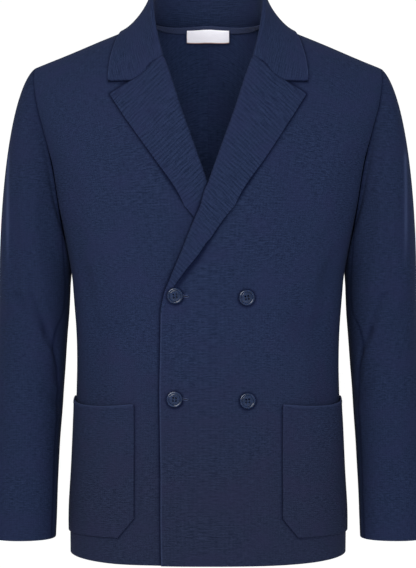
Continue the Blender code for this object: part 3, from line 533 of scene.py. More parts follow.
@dataclass
class ClothForm:
    """Cloth on the body, with its creases and the lap of the two fronts."""

    body: BodyForm
    lap_outer_x: float = 125
    lap_inner_x: float = 66
    sway_free: Spot = (30, 60)
    sway_shift: float = 1.3
    long_sway: float = 0.45
    long_waves: tuple[float, float, float] = (31, 210, 88)
    short_sway: float = 0.16
    short_waves: tuple[float, float, float, float] = (14.5, 47, 36, 60)
    border_step: float = 0.01
    layers: tuple[LapLayer, ...] = (
        LapLayer(-700, 1.6, 3.6), LapLayer(-405, 1.6, 3.6), LapLayer(-362, 2.2, 5.2),
        LapLayer(-215, 2.2, 5.2), LapLayer(-90, 0.0, 0.0),
    )
    front_left: tuple[Crease, ...] = (
        Crease(140, -395, 150, -490, 22, 3.5), Crease(150, -330, 120, -400, 24, 2.5),
        Crease(157, -322, 146, -392, 9, 1.5, 0.5), Crease(168, -300, 150, -345, 8, 1.2, 0.4),
        Crease(118, -372, 108, -440, 14, 1.0, 0.4), Crease(178, -250, 150, -290, 11, 1.1, 0.4),
        Crease(150, -150, 96, -214, 22, 1.5, 0.5), Crease(196, -176, 166, -236, 15, 1.2, 0.4),
        Crease(78, -300, 40, -346, 20, 0.9, 0.3),
    )
    front_right: tuple[Crease, ...] = (
        Crease(141, -400, 148, -485, 22, 3.5), Crease(152, -330, 118, -396, 24, 2.5),
        Crease(160, -326, 149, -388, 9, 1.4, 0.5), Crease(170, -296, 156, -348, 8, 1.1, 0.4),
        Crease(112, -378, 106, -452, 15, 1.0, 0.4), Crease(180, -256, 154, -300, 12, 1.2, 0.4),
        Crease(146, -156, 100, -222, 20, 1.3, 0.5), Crease(198, -182, 170, -240, 14, 1.2, 0.4),
    )
    back_left: tuple[Crease, ...] = (
        Crease(118, -330, 60, -430, 26, 4.0), Crease(96, -450, 104, -640, 30, 3.5),
        Crease(150, -300, 96, -378, 12, 1.8, 0.5), Crease(160, -352, 104, -418, 11, 1.6, 0.5),
        Crease(170, -200, 140, -282, 15, 1.5, 0.4), Crease(128, -456, 70, -492, 14, 1.2, 0.4),
        Crease(48, -520, 54, -668, 18, 1.2, 0.4),
    )
    back_right: tuple[Crease, ...] = (
        Crease(122, -340, 70, -425, 26, 4.0), Crease(100, -455, 96, -650, 30, 3.5),
        Crease(148, -306, 92, -386, 12, 1.7, 0.5), Crease(162, -360, 110, -424, 11, 1.5, 0.5),
        Crease(172, -206, 144, -276, 14, 1.4, 0.4), Crease(132, -462, 78, -500, 14, 1.2, 0.4),
        Crease(52, -530, 46, -660, 18, 1.1, 0.4),
    )

    def __post_init__(self) -> None:
        """Makes the curves and the creases of each panel."""
        self._top = Spline([(row.z, row.top) for row in self.layers])
        self._under = Spline([(row.z, row.under) for row in self.layers])
        self._creases = {
            (Face.FRONT, Side.LEFT): Creases(self.front_left),
            (Face.FRONT, Side.RIGHT): Creases(self.front_right),
            (Face.BACK, Side.LEFT): Creases(self.back_left),
            (Face.BACK, Side.RIGHT): Creases(self.back_right),
        }

    def lap(self, x: np.ndarray, z: np.ndarray, side: Side) -> np.ndarray:
        """How far a front stands off the body surface where the fronts lap."""
        share = ease(-self.lap_outer_x, -self.lap_inner_x, -x)
        if side is Side.LEFT:
            return share * self._top(z)
        return -share * self._under(z)

    def sway(self, x: np.ndarray, z: np.ndarray, side: Side) -> np.ndarray:
        """Long shallow waves of hanging cloth, a little different on each side."""
        shift = self.sway_shift * side.value
        a, b, c = self.long_waves
        wave = np.sin(x / a + z / b + shift) * np.sin(z / c - shift)
        a, b, c, d = self.short_waves
        fine = np.sin(x / a - z / b + 2 * shift) * np.sin(z / c + x / d)
        return self.long_sway * wave + self.short_sway * fine

    def at(
        self, places: np.ndarray, face: Face, side: Side, height: np.ndarray | float
    ) -> tuple[np.ndarray, np.ndarray]:
        """Points at a height over the outer face of a panel of the wearer's left.

        Args:
            places: Places of (angle, level).
            face: Front or back.
            side: Side whose creases and lap count.
            height: Height over the outer face.

        Returns:
            The points, not yet mirrored, and the directions of the cloth there.
        """
        points = self.body.point(places, face)
        normals = self.body.normal(places, face)
        x, z = points[..., 0], points[..., 2]
        shift = height - self._creases[face, side].depth(x, z)
        shift = shift + self.sway(x, z, side) * ease(*self.sway_free, np.abs(x))
        if face is Face.FRONT:
            shift = shift + self.lap(x, z, side)
        return points + normals * np.asarray(shift)[..., None], normals

    def folds(self, points: np.ndarray, face: Face, side: Side) -> np.ndarray:
        """Depth of the creases at points of a panel, not yet mirrored."""
        depth = self._creases[face, side].depth(points[..., 0], points[..., 2])
        return np.maximum(depth, 0)

    def frame(
        self, curve: Curve, share: float, face: Face, side: Side, toward: np.ndarray
    ) -> tuple[np.ndarray, np.ndarray, np.ndarray]:
        """Point, direction and outward direction of a panel's border.

        Args:
            curve: Places of the border.
            share: Share of its length.
            face: Front or back.
            side: Side whose creases and lap count.
            toward: Rough direction out of the panel.

        Returns:
            The point, the cloth's direction and the direction out of the panel.
        """
        step = self.border_step
        shares = np.clip(np.array([share - step, share, share + step]), 0, 1)
        points, normals = self.at(curve(shares), face, side, 0.0)
        off = unit(np.cross(points[2] - points[0], normals[1]))
        return points[1], normals[1], off if off @ toward > 0 else -off


@dataclass
class Outline:
    """Edges of the pieces on the wearer's left, as places on the body."""

    body: BodyForm
    front_edge_x: float = -58.8
    front_edge_line: tuple[Spot, ...] = (
        (-58.8, -700), (-59.6, -590), (-61.0, -489), (-60.2, -430), (-59.3, -378),
    )
    shoulder_tip_x: float = 230.5
    neck_back: float = 78
    neck_squareness: float = 2.2
    side_rows: float = 9 / 23
    edge_rows: float = 7 / 23
    roll_rows: float = 19 / 23
    back_rows: float = 16 / 23
    armhole: tuple[tuple[float, float, float], ...] = (
        (-303, 185.6, 185.0), (-275, 189.8, 188.0), (-236, 195.8, 192.0), (-196, 202.0, 196.5),
        (-166, 208.5, 202.0), (-138, 216.0, 210.0), (-111, 223.5, 219.0), (-79, 229.0, 227.0),
    )
    roll_line: tuple[Spot, ...] = (
        (-59.3, -378), (-54.4, -354), (-45.5, -335), (-31.0, -303), (-12.3, -257), (5.2, -209),
        (32.2, -133.5), (45.0, -94), (59.5, -51.5),
    )
    neckline: tuple[Spot, ...] = ((59.5, -51.5), (68.5, -28), (74.5, -8))
    lapel_edge: tuple[Spot, ...] = (
        (-54.0, -369), (-48.0, -356), (-41.5, -343), (-28.8, -325), (-10.0, -301.5),
        (15.3, -266), (38.9, -232), (73.1, -181), (104.0, -132), (124.8, -98.8),
    )
    gorge: tuple[Spot, ...] = ((59.5, -51.5), (69.5, -58.2), (81.0, -70.6), (98.0, -82.5))
    lapel_tip: Spot = (124.8, -98.8)
    collar_corner: Spot = (127.2, -82.2)
    collar_side: tuple[Spot, ...] = (
        (127.2, -64), (125.2, -43), (120.0, -22), (113.5, -5), (100.0, 16), (70.0, 20),
    )
    under_shift: float = -5.0
    top_shift: float = -1.3
    shift_z: Spot = (-185, -110)
    gorge_columns: float = 4 / 7
    neck_points: int = 13
    lap_gap: float = 1.0
    lap_swell: float = 2.4
    lap_swell_z: Spot = (-370, -335)
    lap_far: Spot = (-260.0, -51.0)
    lap_below: float = 9
    button_radius: float = 9.6
    button_points: int = 24

    def _through(self, points: Sequence[Spot], face: Face = Face.FRONT) -> PlaceCurve:
        """Curve through points seen from the front."""
        return PlaceCurve(self.body, [self.body.locate(x, z, face) for x, z in points], face)

    def line(self, start: Spot, end: Spot) -> Curve:
        """Straight line between two points seen from the front."""

        def places(share: np.ndarray) -> np.ndarray:
            x = start[0] + (end[0] - start[0]) * share
            z = start[1] + (end[1] - start[1]) * share
            return self.body.locate(x, z, Face.FRONT)

        return places

    def armhole_curve(self, face: Face) -> PlaceCurve:
        """Armhole from the underarm up to the shoulder tip."""
        column = 1 if face is Face.FRONT else 2
        tip = self.shoulder_tip_x
        places = [np.array([math.pi / 2, self.body.underarm_z])]
        places += [self.body.locate(row[column], row[0], face) for row in self.armhole]
        places.append(self.body.locate(tip, self.body.shoulder_line(tip), face))
        return PlaceCurve(self.body, places, face)

    def side(self, face: Face) -> Curve:
        """Side seam and armhole."""
        start = self.body.hem_z + self.body.hem_rise

        def seam(share: np.ndarray) -> np.ndarray:
            level = start + (self.body.underarm_z - start) * share
            return np.stack([np.full(np.shape(share), math.pi / 2), level], axis=-1)

        return JoinedCurve([(self.side_rows, seam), (1.0, self.armhole_curve(face))])

    def shoulder(self, face: Face) -> Curve:
        """Shoulder seam from the neck point to the tip."""
        start, end = self.body.neck_half, self.shoulder_tip_x

        def places(share: np.ndarray) -> np.ndarray:
            x = start + (end - start) * share
            return self.body.locate(x, self.body.shoulder_line(x), face)

        return places

    def hem(self, start_x: float, face: Face) -> Curve:
        """Hem, a little higher at the side than in the middle."""
        start = self.body.locate(start_x, self.body.hem_z, face)
        flat = PlaceCurve(self.body, [start, np.array([math.pi / 2, self.body.hem_z])], face)

        def places(share: np.ndarray) -> np.ndarray:
            found = flat(share)
            rise = self.body.hem_rise * np.sin(found[..., 0]) ** 4
            return np.stack([found[..., 0], self.body.hem_z + rise], axis=-1)

        return places

    def front_neck(self) -> PlaceCurve:
        """Neckline from the roll line up to the neck point."""
        half = self.body.neck_half
        points = [*self.neckline, (half, float(self.body.shoulder_line(half)))]
        return self._through(points)

    def back_neck(self) -> PlaceCurve:
        """Neckline from the middle of the back to the neck point."""
        power = 2 / self.neck_squareness
        places = []
        for turn in np.linspace(0, math.pi / 2, self.neck_points)[:-1]:
            x = self.body.neck_half * math.sin(turn) ** power
            places.append(self.body.locate_back(x, self.neck_back * math.cos(turn) ** power))
        half = self.body.neck_half
        places.append(self.body.locate(half, self.body.shoulder_line(half), Face.BACK))
        return PlaceCurve(self.body, places, Face.BACK)

    def roll(self) -> PlaceCurve:
        """Roll line from the front edge to the neckline."""
        return self._through(self.roll_line)

    def front_edge(self) -> Curve:
        """Front edge, roll line and neckline."""
        edge = self._through(self.front_edge_line)
        return JoinedCurve(
            [(self.edge_rows, edge), (self.roll_rows, self.roll()), (1.0, self.front_neck())]
        )

    def back_edge(self) -> Curve:
        """Centre back seam and back neckline."""
        neck = self.back_neck()
        start = np.array([0.0, self.body.hem_z])
        seam = PlaceCurve(self.body, [start, neck(np.array(0.0))], Face.BACK)
        return JoinedCurve([(self.back_rows, seam), (1.0, neck)])

    def gorge_to(self, end: Spot) -> Curve:
        """Gorge seam and the free edge from its end to a tip of lapel or collar."""
        free = self.line(self.gorge[-1], end)
        return JoinedCurve([(self.gorge_columns, self._through(self.gorge)), (1.0, free)])

    def lapel_edge_of(self, side: Side) -> list[Spot]:
        """Points of a lapel's outer edge, nearer the middle on the one underneath."""
        shift = self.under_shift if side is Side.RIGHT else self.top_shift
        return [(x + shift * float(1 - ease(*self.shift_z, z)), z) for x, z in self.lapel_edge]

    def lapel_side(self, side: Side) -> PlaceCurve:
        """Lapel's outer edge."""
        return self._through(self.lapel_edge_of(side))

    def lapel_area(self, side: Side) -> list[Spot]:
        """Outline of a lapel seen from the front."""
        return [*self.lapel_edge_of(side), *self.gorge[::-1], *self.roll_line[::-1]]

    def collar_area(self) -> list[Spot]:
        """Outline of the collar's front end seen from the front."""
        return [*self.gorge, self.collar_corner, *self.collar_side]

    def lapped_area(self) -> list[Spot]:
        """Where the top front covers the one underneath, as the latter has it."""
        line = [*self.front_edge_line[:-1], *self.roll_line]
        swells = [self.lap_swell * float(ease(*self.lap_swell_z, z)) for _, z in line]
        edge = [(self.lap_gap - x + swell, z) for (x, z), swell in zip(line, swells)]
        low = self.body.hem_z - self.lap_below
        return [(edge[0][0], low), *edge, self.lap_far, (self.lap_far[0], low)]

    def ring(self, centre: Spot) -> list[Spot]:
        """Outline of a button seen from the front."""
        turns = np.linspace(0, 2 * math.pi, self.button_points, endpoint=False)
        (x, z), radius = centre, self.button_radius
        return [(x + radius * math.cos(t), z + radius * math.sin(t)) for t in turns]


def math_operator(operation: str, reflected: bool = False) -> Callable[[Wire, Wire | float], Wire]:
    """Operator of a wire that adds a Math node.

    Args:
        operation: Blender's name of the operation.
        reflected: Whether the wire stands on the right of the sign.

    Returns:
        The operator's method.
    """

    def method(self: Wire, other: Wire | float) -> Wire:
        values = {0: other, 1: self} if reflected else {0: self, 1: other}
        return self.maker.node("ShaderNodeMath", {"operation": operation}, values)["Value"]

    return method


class Wire:
    """Shader socket whose operators add Math nodes."""

    __add__, __radd__ = math_operator("ADD"), math_operator("ADD", True)
    __sub__, __rsub__ = math_operator("SUBTRACT"), math_operator("SUBTRACT", True)
    __mul__, __rmul__ = math_operator("MULTIPLY"), math_operator("MULTIPLY", True)

    def __init__(self, maker: ShaderMaker, socket: bpy.types.NodeSocket) -> None:
        """Keeps the socket and the maker that owns its nodes."""
        self.maker = maker
        self.socket = socket

    def sine(self) -> Wire:
        """Sine of the value, moved to 0 to 1."""
        wave = self.maker.node("ShaderNodeMath", {"operation": "SINE"}, {0: self})["Value"]
        return wave * 0.5 + 0.5

    def ramp(self, low: float, high: float) -> Wire:
        """0 at low, 1 at high, smooth between."""
        settings = {"interpolation_type": "SMOOTHSTEP"}
        sockets = {"Value": self, "From Min": low, "From Max": high}
        return self.maker.node("ShaderNodeMapRange", settings, sockets)["Result"]


class Outputs:
    """Outputs of a node, read by name as wires."""

    def __init__(self, maker: ShaderMaker, node: bpy.types.Node) -> None:
        """Keeps the node."""
        self.maker = maker
        self.node = node

    def __getitem__(self, name: str) -> Wire:
        """Output of that name."""
        return Wire(self.maker, self.node.outputs[name])


class ShaderMaker:
    """Material under construction, with one Principled shader."""

    def __init__(self, name: str, constants: Mapping[str, float]) -> None:
        """Makes the material.

        Args:
            name: Material name.
            constants: Values set on the shader's own sockets.
        """
        self.material = bpy.data.materials.new(name)
        self.material.use_nodes = True
        self.tree = self.material.node_tree
        self.shader = self.tree.nodes["Principled BSDF"]
        for socket, value in constants.items():
            self.shader.inputs[socket].default_value = value

    def node(
        self,
        kind: str,
        settings: Mapping[str, object] | None = None,
        sockets: Mapping[str | int, Wire | float | Sequence[float]] | None = None,
    ) -> Outputs:
        """Adds a node.

        Args:
            kind: Blender's name of the node type.
            settings: Properties, set first.
            sockets: Values or wires of its inputs.

        Returns:
            The node's outputs.
        """
        node = self.tree.nodes.new(kind)
        for key, value in (settings or {}).items():
            setattr(node, key, value)
        for key, value in (sockets or {}).items():
            if isinstance(value, Wire):
                self.tree.links.new(value.socket, node.inputs[key])
            else:
                node.inputs[key].default_value = value
        return Outputs(self, node)

    def map(self, name: str) -> tuple[Wire, Wire]:
        """Place on a piece's own map, across and up."""
        place = self.node("ShaderNodeUVMap", {"uv_map": name})["UV"]
        parts = self.node("ShaderNodeSeparateXYZ", None, {"Vector": place})
        return parts["X"], parts["Y"]

    def uv(self) -> tuple[Wire, Wire]:
        """Place on the cloth in millimetres, across and up."""
        across, up = self.map(UV_NAME)
        return across * (1 / MM), up * (1 / MM)

    def vector(self, x: Wire | float, y: Wire | float, z: Wire | float = 0.0) -> Wire:
        """Vector of three values."""
        return self.node("ShaderNodeCombineXYZ", None, {"X": x, "Y": y, "Z": z})["Vector"]

    def noise(self, place: Wire, scale: float, detail: float = 2.0, rough: float = 0.5) -> Wire:
        """Noise of 0 to 1 at a place."""
        sockets = {"Vector": place, "Scale": scale, "Detail": detail, "Roughness": rough}
        return self.node("ShaderNodeTexNoise", None, sockets)["Fac"]

    def grain(self, across: Wire, up: Wire, grain: Grain) -> Wire:
        """Noise of 0 to 1 at a place on the cloth."""
        place = self.vector(across * grain.across, up * grain.up)
        return self.noise(place, grain.scale, grain.detail, grain.rough)

    def mix(self, factor: Wire | float, low: Wire | Colour, high: Wire | Colour) -> Wire:
        """Colour between two."""
        ends = [c if isinstance(c, Wire) else (*c, 1.0) for c in (low, high)]
        node = self.tree.nodes.new("ShaderNodeMix")
        node.data_type = "RGBA"
        inputs = {socket.identifier: socket for socket in node.inputs}
        for name, value in zip(("Factor_Float", "A_Color", "B_Color"), (factor, *ends)):
            if isinstance(value, Wire):
                self.tree.links.new(value.socket, inputs[name])
            else:
                inputs[name].default_value = value
        outputs = {socket.identifier: socket for socket in node.outputs}
        return Wire(self, outputs["Result_Color"])

    def bump(self, height: Wire, distance: float) -> Wire:
        """Normal of a height over the surface."""
        sockets = {"Height": height, "Distance": distance, "Strength": 1.0}
        return self.node("ShaderNodeBump", None, sockets)["Normal"]

    def set(self, socket: str, wire: Wire) -> None:
        """Feeds one of the shader's sockets."""
        self.tree.links.new(wire.socket, self.shader.inputs[socket])


class Finish:
    """Finish whose material is made once for all the pieces that wear it."""

    name: str
    slot: str

    def material(self) -> bpy.types.Material:
        """The material, made at its first use."""
        return bpy.data.materials.get(self.name) or self.make()

    def make(self) -> bpy.types.Material:
        """Makes the material."""
        raise NotImplementedError


@dataclass(frozen=True)
class KnitCloth(Finish):
    """Fine cotton knit with uneven courses, in one navy, with painted shade and highlight.

    The courses run across the piece and are turned by course_turn degrees.
    """

    name: str
    slot: str = "navy_knit"
    dark: Colour = (0.0038, 0.0066, 0.0190)
    light: Colour = (0.0133, 0.0210, 0.0512)
    violet: Colour = (0.0102, 0.0135, 0.0385)
    # The next two colours are painted light: the deep one for painted shade, the pale one for
    # painted highlight.
    deep: Colour = (0.0016, 0.0029, 0.0125)
    pale: Colour = (0.0270, 0.0380, 0.0860)
    warmer: Colour = (1.06, 0.90, 0.79)
    strength: float = 1.0
    low_warmth: float = 0.0
    course_turn: float = 0.0
    course_pitch: float = 2.3
    course_depth: float = 0.12
    course_tone: float = 0.05
    slub_length: float = 7.0
    slub_height: float = 1.6
    slub_depth: float = 0.24
    wale_pitch: float = 3.6
    wale_depth: float = 0.10
    relief: float = 0.00050
    roughness: float = 0.84
    sheen: float = 0.01
    sheen_roughness: float = 0.5
    specular: float = 0.015
    # Strength of the painted shade.
    recess_shade: float = 0.80
    tint: Colour = (0.45, 0.52, 0.80)
    drift: Grain = Grain(0.03, 0.04)
    pulled: Grain = Grain(0.16, 0.9, 3.0, 0.65)
    stronger: Grain = Grain(0.012, 0.014, 1.0)
    patch: Grain = Grain(0.016, 0.022, 3.0, 0.6)
    fuzz: Grain = Grain(1.0, 1.0, 2.0, 0.7, 1.3)
    melange: Grain = Grain(0.50, 0.75, 2.0, 0.6)

    def make(self) -> bpy.types.Material:
        """Makes the material."""
        constants = {
            "Sheen Weight": self.sheen,
            "Sheen Roughness": self.sheen_roughness,
            "Specular IOR Level": self.specular,
        }
        shader = ShaderMaker(self.name, constants)
        shader.shader.inputs["Sheen Tint"].default_value = (*self.tint, 1.0)
        u, v = shader.uv()
        turn = math.radians(self.course_turn)
        along = u * math.cos(turn) + v * math.sin(turn)
        across = v * math.cos(turn) - u * math.sin(turn)
        drift = shader.grain(along, across, self.drift)
        waved = across + drift * 5.0
        lumps = Grain(1 / self.slub_length, 1 / self.slub_height, 3.0, 0.55)
        slub = shader.grain(along, waved, lumps)
        pulled = shader.grain(along, waved, self.pulled)
        course = (across * (2 * math.pi / self.course_pitch) + drift * 7.0).sine()
        wale = (along * (2 * math.pi / self.wale_pitch) + drift * 6.0).sine()
        strength = shader.grain(u, v, self.stronger).ramp(0.35, 0.65)
        patch = shader.grain(u, v, self.patch)
        fuzz = shader.grain(u, v, self.fuzz)
        uneven = (slub - 0.5) * (strength * 0.5 + 0.6)
        height = uneven * self.slub_depth + course * self.course_depth + wale * self.wale_depth
        height = height + pulled * 0.16 + fuzz * 0.12
        melange = shader.grain(u, v, self.melange)
        yarn = uneven * 0.70 + (pulled - 0.5) * 0.35 + (fuzz - 0.5) * 0.22
        yarn = yarn + (melange - 0.5) * 0.40
        yarn = yarn + (course - 0.5) * self.course_tone + (wale - 0.5) * 0.035
        dark, light, violet = (
            tuple(channel * self.strength for channel in colour)
            for colour in (self.dark, self.light, self.violet)
        )
        if self.low_warmth:
            low = (0.0 - v + patch * 160.0).ramp(440.0, 720.0) * self.low_warmth
            dark, light, violet = (
                shader.mix(low, colour, tuple(c * w for c, w in zip(colour, self.warmer)))
                for colour in (dark, light, violet)
            )
        tone = shader.mix(yarn.ramp(-0.30, 0.30), dark, light)
        tone = shader.mix(patch.ramp(0.40, 0.72) * 0.60, tone, violet)
        # Painted shade towards the deep colour and painted highlight towards the pale colour, from
        # the marks on the mesh.
        recess = shader.node("ShaderNodeAttribute", {"attribute_name": PAINTED_LIGHT_LAYER})["Fac"]
        tone = shader.mix(recess.ramp(SHADE_START, 1.0) * self.recess_shade, tone, self.deep)
        tone = shader.mix((0.0 - recess).ramp(0.0, 1.0), tone, self.pale)
        shader.set("Base Color", tone)
        shader.set("Roughness", self.roughness + slub * 0.08)
        shader.set("Normal", shader.bump(height, self.relief))
        return shader.material


@dataclass(frozen=True)
class PolishedButton(Finish):
    """Dark blue polyester with a faint horn cloud under its polish."""

    name: str = "polished_button"
    slot: str = "navy_button"
    deep: Colour = (0.0020, 0.0075, 0.0260)
    cloud: Colour = (0.0055, 0.0135, 0.0420)

    def make(self) -> bpy.types.Material:
        """Makes the material."""
        constants = {"Specular IOR Level": 0.20, "IOR": 1.5}
        shader = ShaderMaker(self.name, constants)
        place = shader.node("ShaderNodeTexCoord")["Object"]
        cloud = shader.noise(place, 190.0, 4.0, 0.62)
        streak = shader.noise(place, 900.0, 2.0, 0.5)
        shader.set("Base Color", shader.mix(cloud.ramp(0.38, 0.70), self.deep, self.cloud))
        shader.set("Roughness", 0.16 + streak * 0.06)
        shader.set("Normal", shader.bump(streak, 0.000008))
        return shader.material


@dataclass(frozen=True)
class SpunThread(Finish):
    """Twisted sewing thread, with its plies across the strand."""

    name: str
    slot: str = "navy_knit"
    dark: Colour = (0.0075, 0.0115, 0.030)
    light: Colour = (0.0200, 0.0300, 0.072)
    plies: float = 60.0

    def make(self) -> bpy.types.Material:
        """Makes the material."""
        shader = ShaderMaker(self.name, {"Sheen Weight": 0.02, "Specular IOR Level": 0.1})
        along, round_it = shader.map("UVMap")
        twist = along * (2 * math.pi * self.plies) + round_it * (2 * math.pi)
        ply = twist.sine()
        shader.set("Base Color", shader.mix(ply, self.dark, self.light))
        shader.set("Roughness", 0.55 + ply * 0.2)
        shader.set("Normal", shader.bump(ply, 0.0002))
        return shader.material


@dataclass(frozen=True)
class TwillTape(Finish):
    """Cotton tape with a fine slanting twill and firm edges."""

    name: str = "twill_tape"
    slot: str = "navy_tape"
    dark: Colour = (0.0130, 0.0195, 0.0510)
    light: Colour = (0.0240, 0.0360, 0.0900)
    pitch: float = 1.1

    def make(self) -> bpy.types.Material:
        """Makes the material."""
        shader = ShaderMaker(self.name, {"Sheen Weight": 0.03, "Specular IOR Level": 0.1})
        u, v = shader.uv()
        twill = ((u + v) * (2 * math.pi / self.pitch)).sine()
        wear = shader.grain(u, v, Grain(0.12, 0.5, 3.0))
        shader.set("Base Color", shader.mix(twill * 0.5 + wear * 0.4, self.dark, self.light))
        shader.set("Roughness", 0.7 + wear * 0.15)
        shader.set("Normal", shader.bump(twill, 0.00025))
        return shader.material


@dataclass(frozen=True)
class WovenLabel(Finish):
    """Bare satin label with a woven border and a warm line at its lower fold."""

    name: str = "woven_label"
    slot: str = "pale_label"
    white: Colour = (0.80, 0.79, 0.85)
    shade: Colour = (0.70, 0.68, 0.78)
    fold: Colour = (0.30, 0.13, 0.09)
    width: float = 60.0
    warp_pitch: float = 0.7
    weft_pitch: float = 0.55

    def make(self) -> bpy.types.Material:
        """Makes the material."""
        shader = ShaderMaker(self.name, {"Sheen Weight": 0.1, "Specular IOR Level": 0.35})
        u, v = shader.uv()
        warp = (u * (2 * math.pi / self.warp_pitch)).sine()
        weft = (v * (2 * math.pi / self.weft_pitch)).sine()
        cloud = shader.grain(u, v, Grain(0.2, 0.3))
        to_side = self.width / 2 - shader.node(
            "ShaderNodeMath", {"operation": "ABSOLUTE"}, {0: u}
        )["Value"]
        border = to_side.ramp(0.4, 1.6) * (1 - to_side.ramp(2.0, 2.8))
        thread = warp * 0.35 + weft * 0.25 + cloud * 0.2 + border * 0.5
        tone = shader.mix(thread * 0.45, self.white, self.shade)
        low = 1 - v.ramp(0.5, 1.0)
        shader.set("Base Color", shader.mix(low * 0.9, tone, self.fold))
        shader.set("Roughness", 0.5 + weft * 0.15)
        shader.set("Normal", shader.bump(warp * 0.5 + weft * 0.5 - border, 0.00012))
        return shader.material


@dataclass(frozen=True)
class PaleFloor(Finish):
    """Matt off-white floor with the faintest grain."""

    name: str = "pale_floor"
    tone: Colour = (0.97, 0.97, 0.97)

    def make(self) -> bpy.types.Material:
        """Makes the material."""
        shader = ShaderMaker(self.name, {"Specular IOR Level": 0.1})
        place = shader.node("ShaderNodeTexCoord")["Object"]
        grain = shader.noise(place, 3.0, 2.0)
        paler = tuple(channel * 0.985 for channel in self.tone)
        shader.set("Base Color", shader.mix(grain, self.tone, paler))
        shader.set("Roughness", 0.85 + grain * 0.1)
        return shader.material


BODY_KNIT = KnitCloth("body_knit", low_warmth=1.0)
# Lighter copy of the knit for the inner face of the back: painted light inside the jacket.
LIGHTENED_REVERSE_KNIT = KnitCloth("reverse_knit", strength=1.42)
# Darker copy of the knit for the sleeves: painted shade over the whole sleeve.
SHADED_SLEEVE_KNIT = KnitCloth("sleeve_knit", strength=0.88)
LAPEL_KNIT = KnitCloth(
    "lapel_knit", course_turn=-43, course_pitch=5.0, course_depth=0.18, course_tone=0.10,
    slub_depth=0.16, slub_length=16,
)
COLLAR_KNIT = KnitCloth("collar_knit", course_pitch=3.0, course_depth=0.14, course_tone=0.08,
                        slub_depth=0.20, slub_length=14, strength=1.02)
POCKET_KNIT = KnitCloth(
    "pocket_knit", course_pitch=2.6, course_depth=0.16, slub_length=8, low_warmth=1.0
)


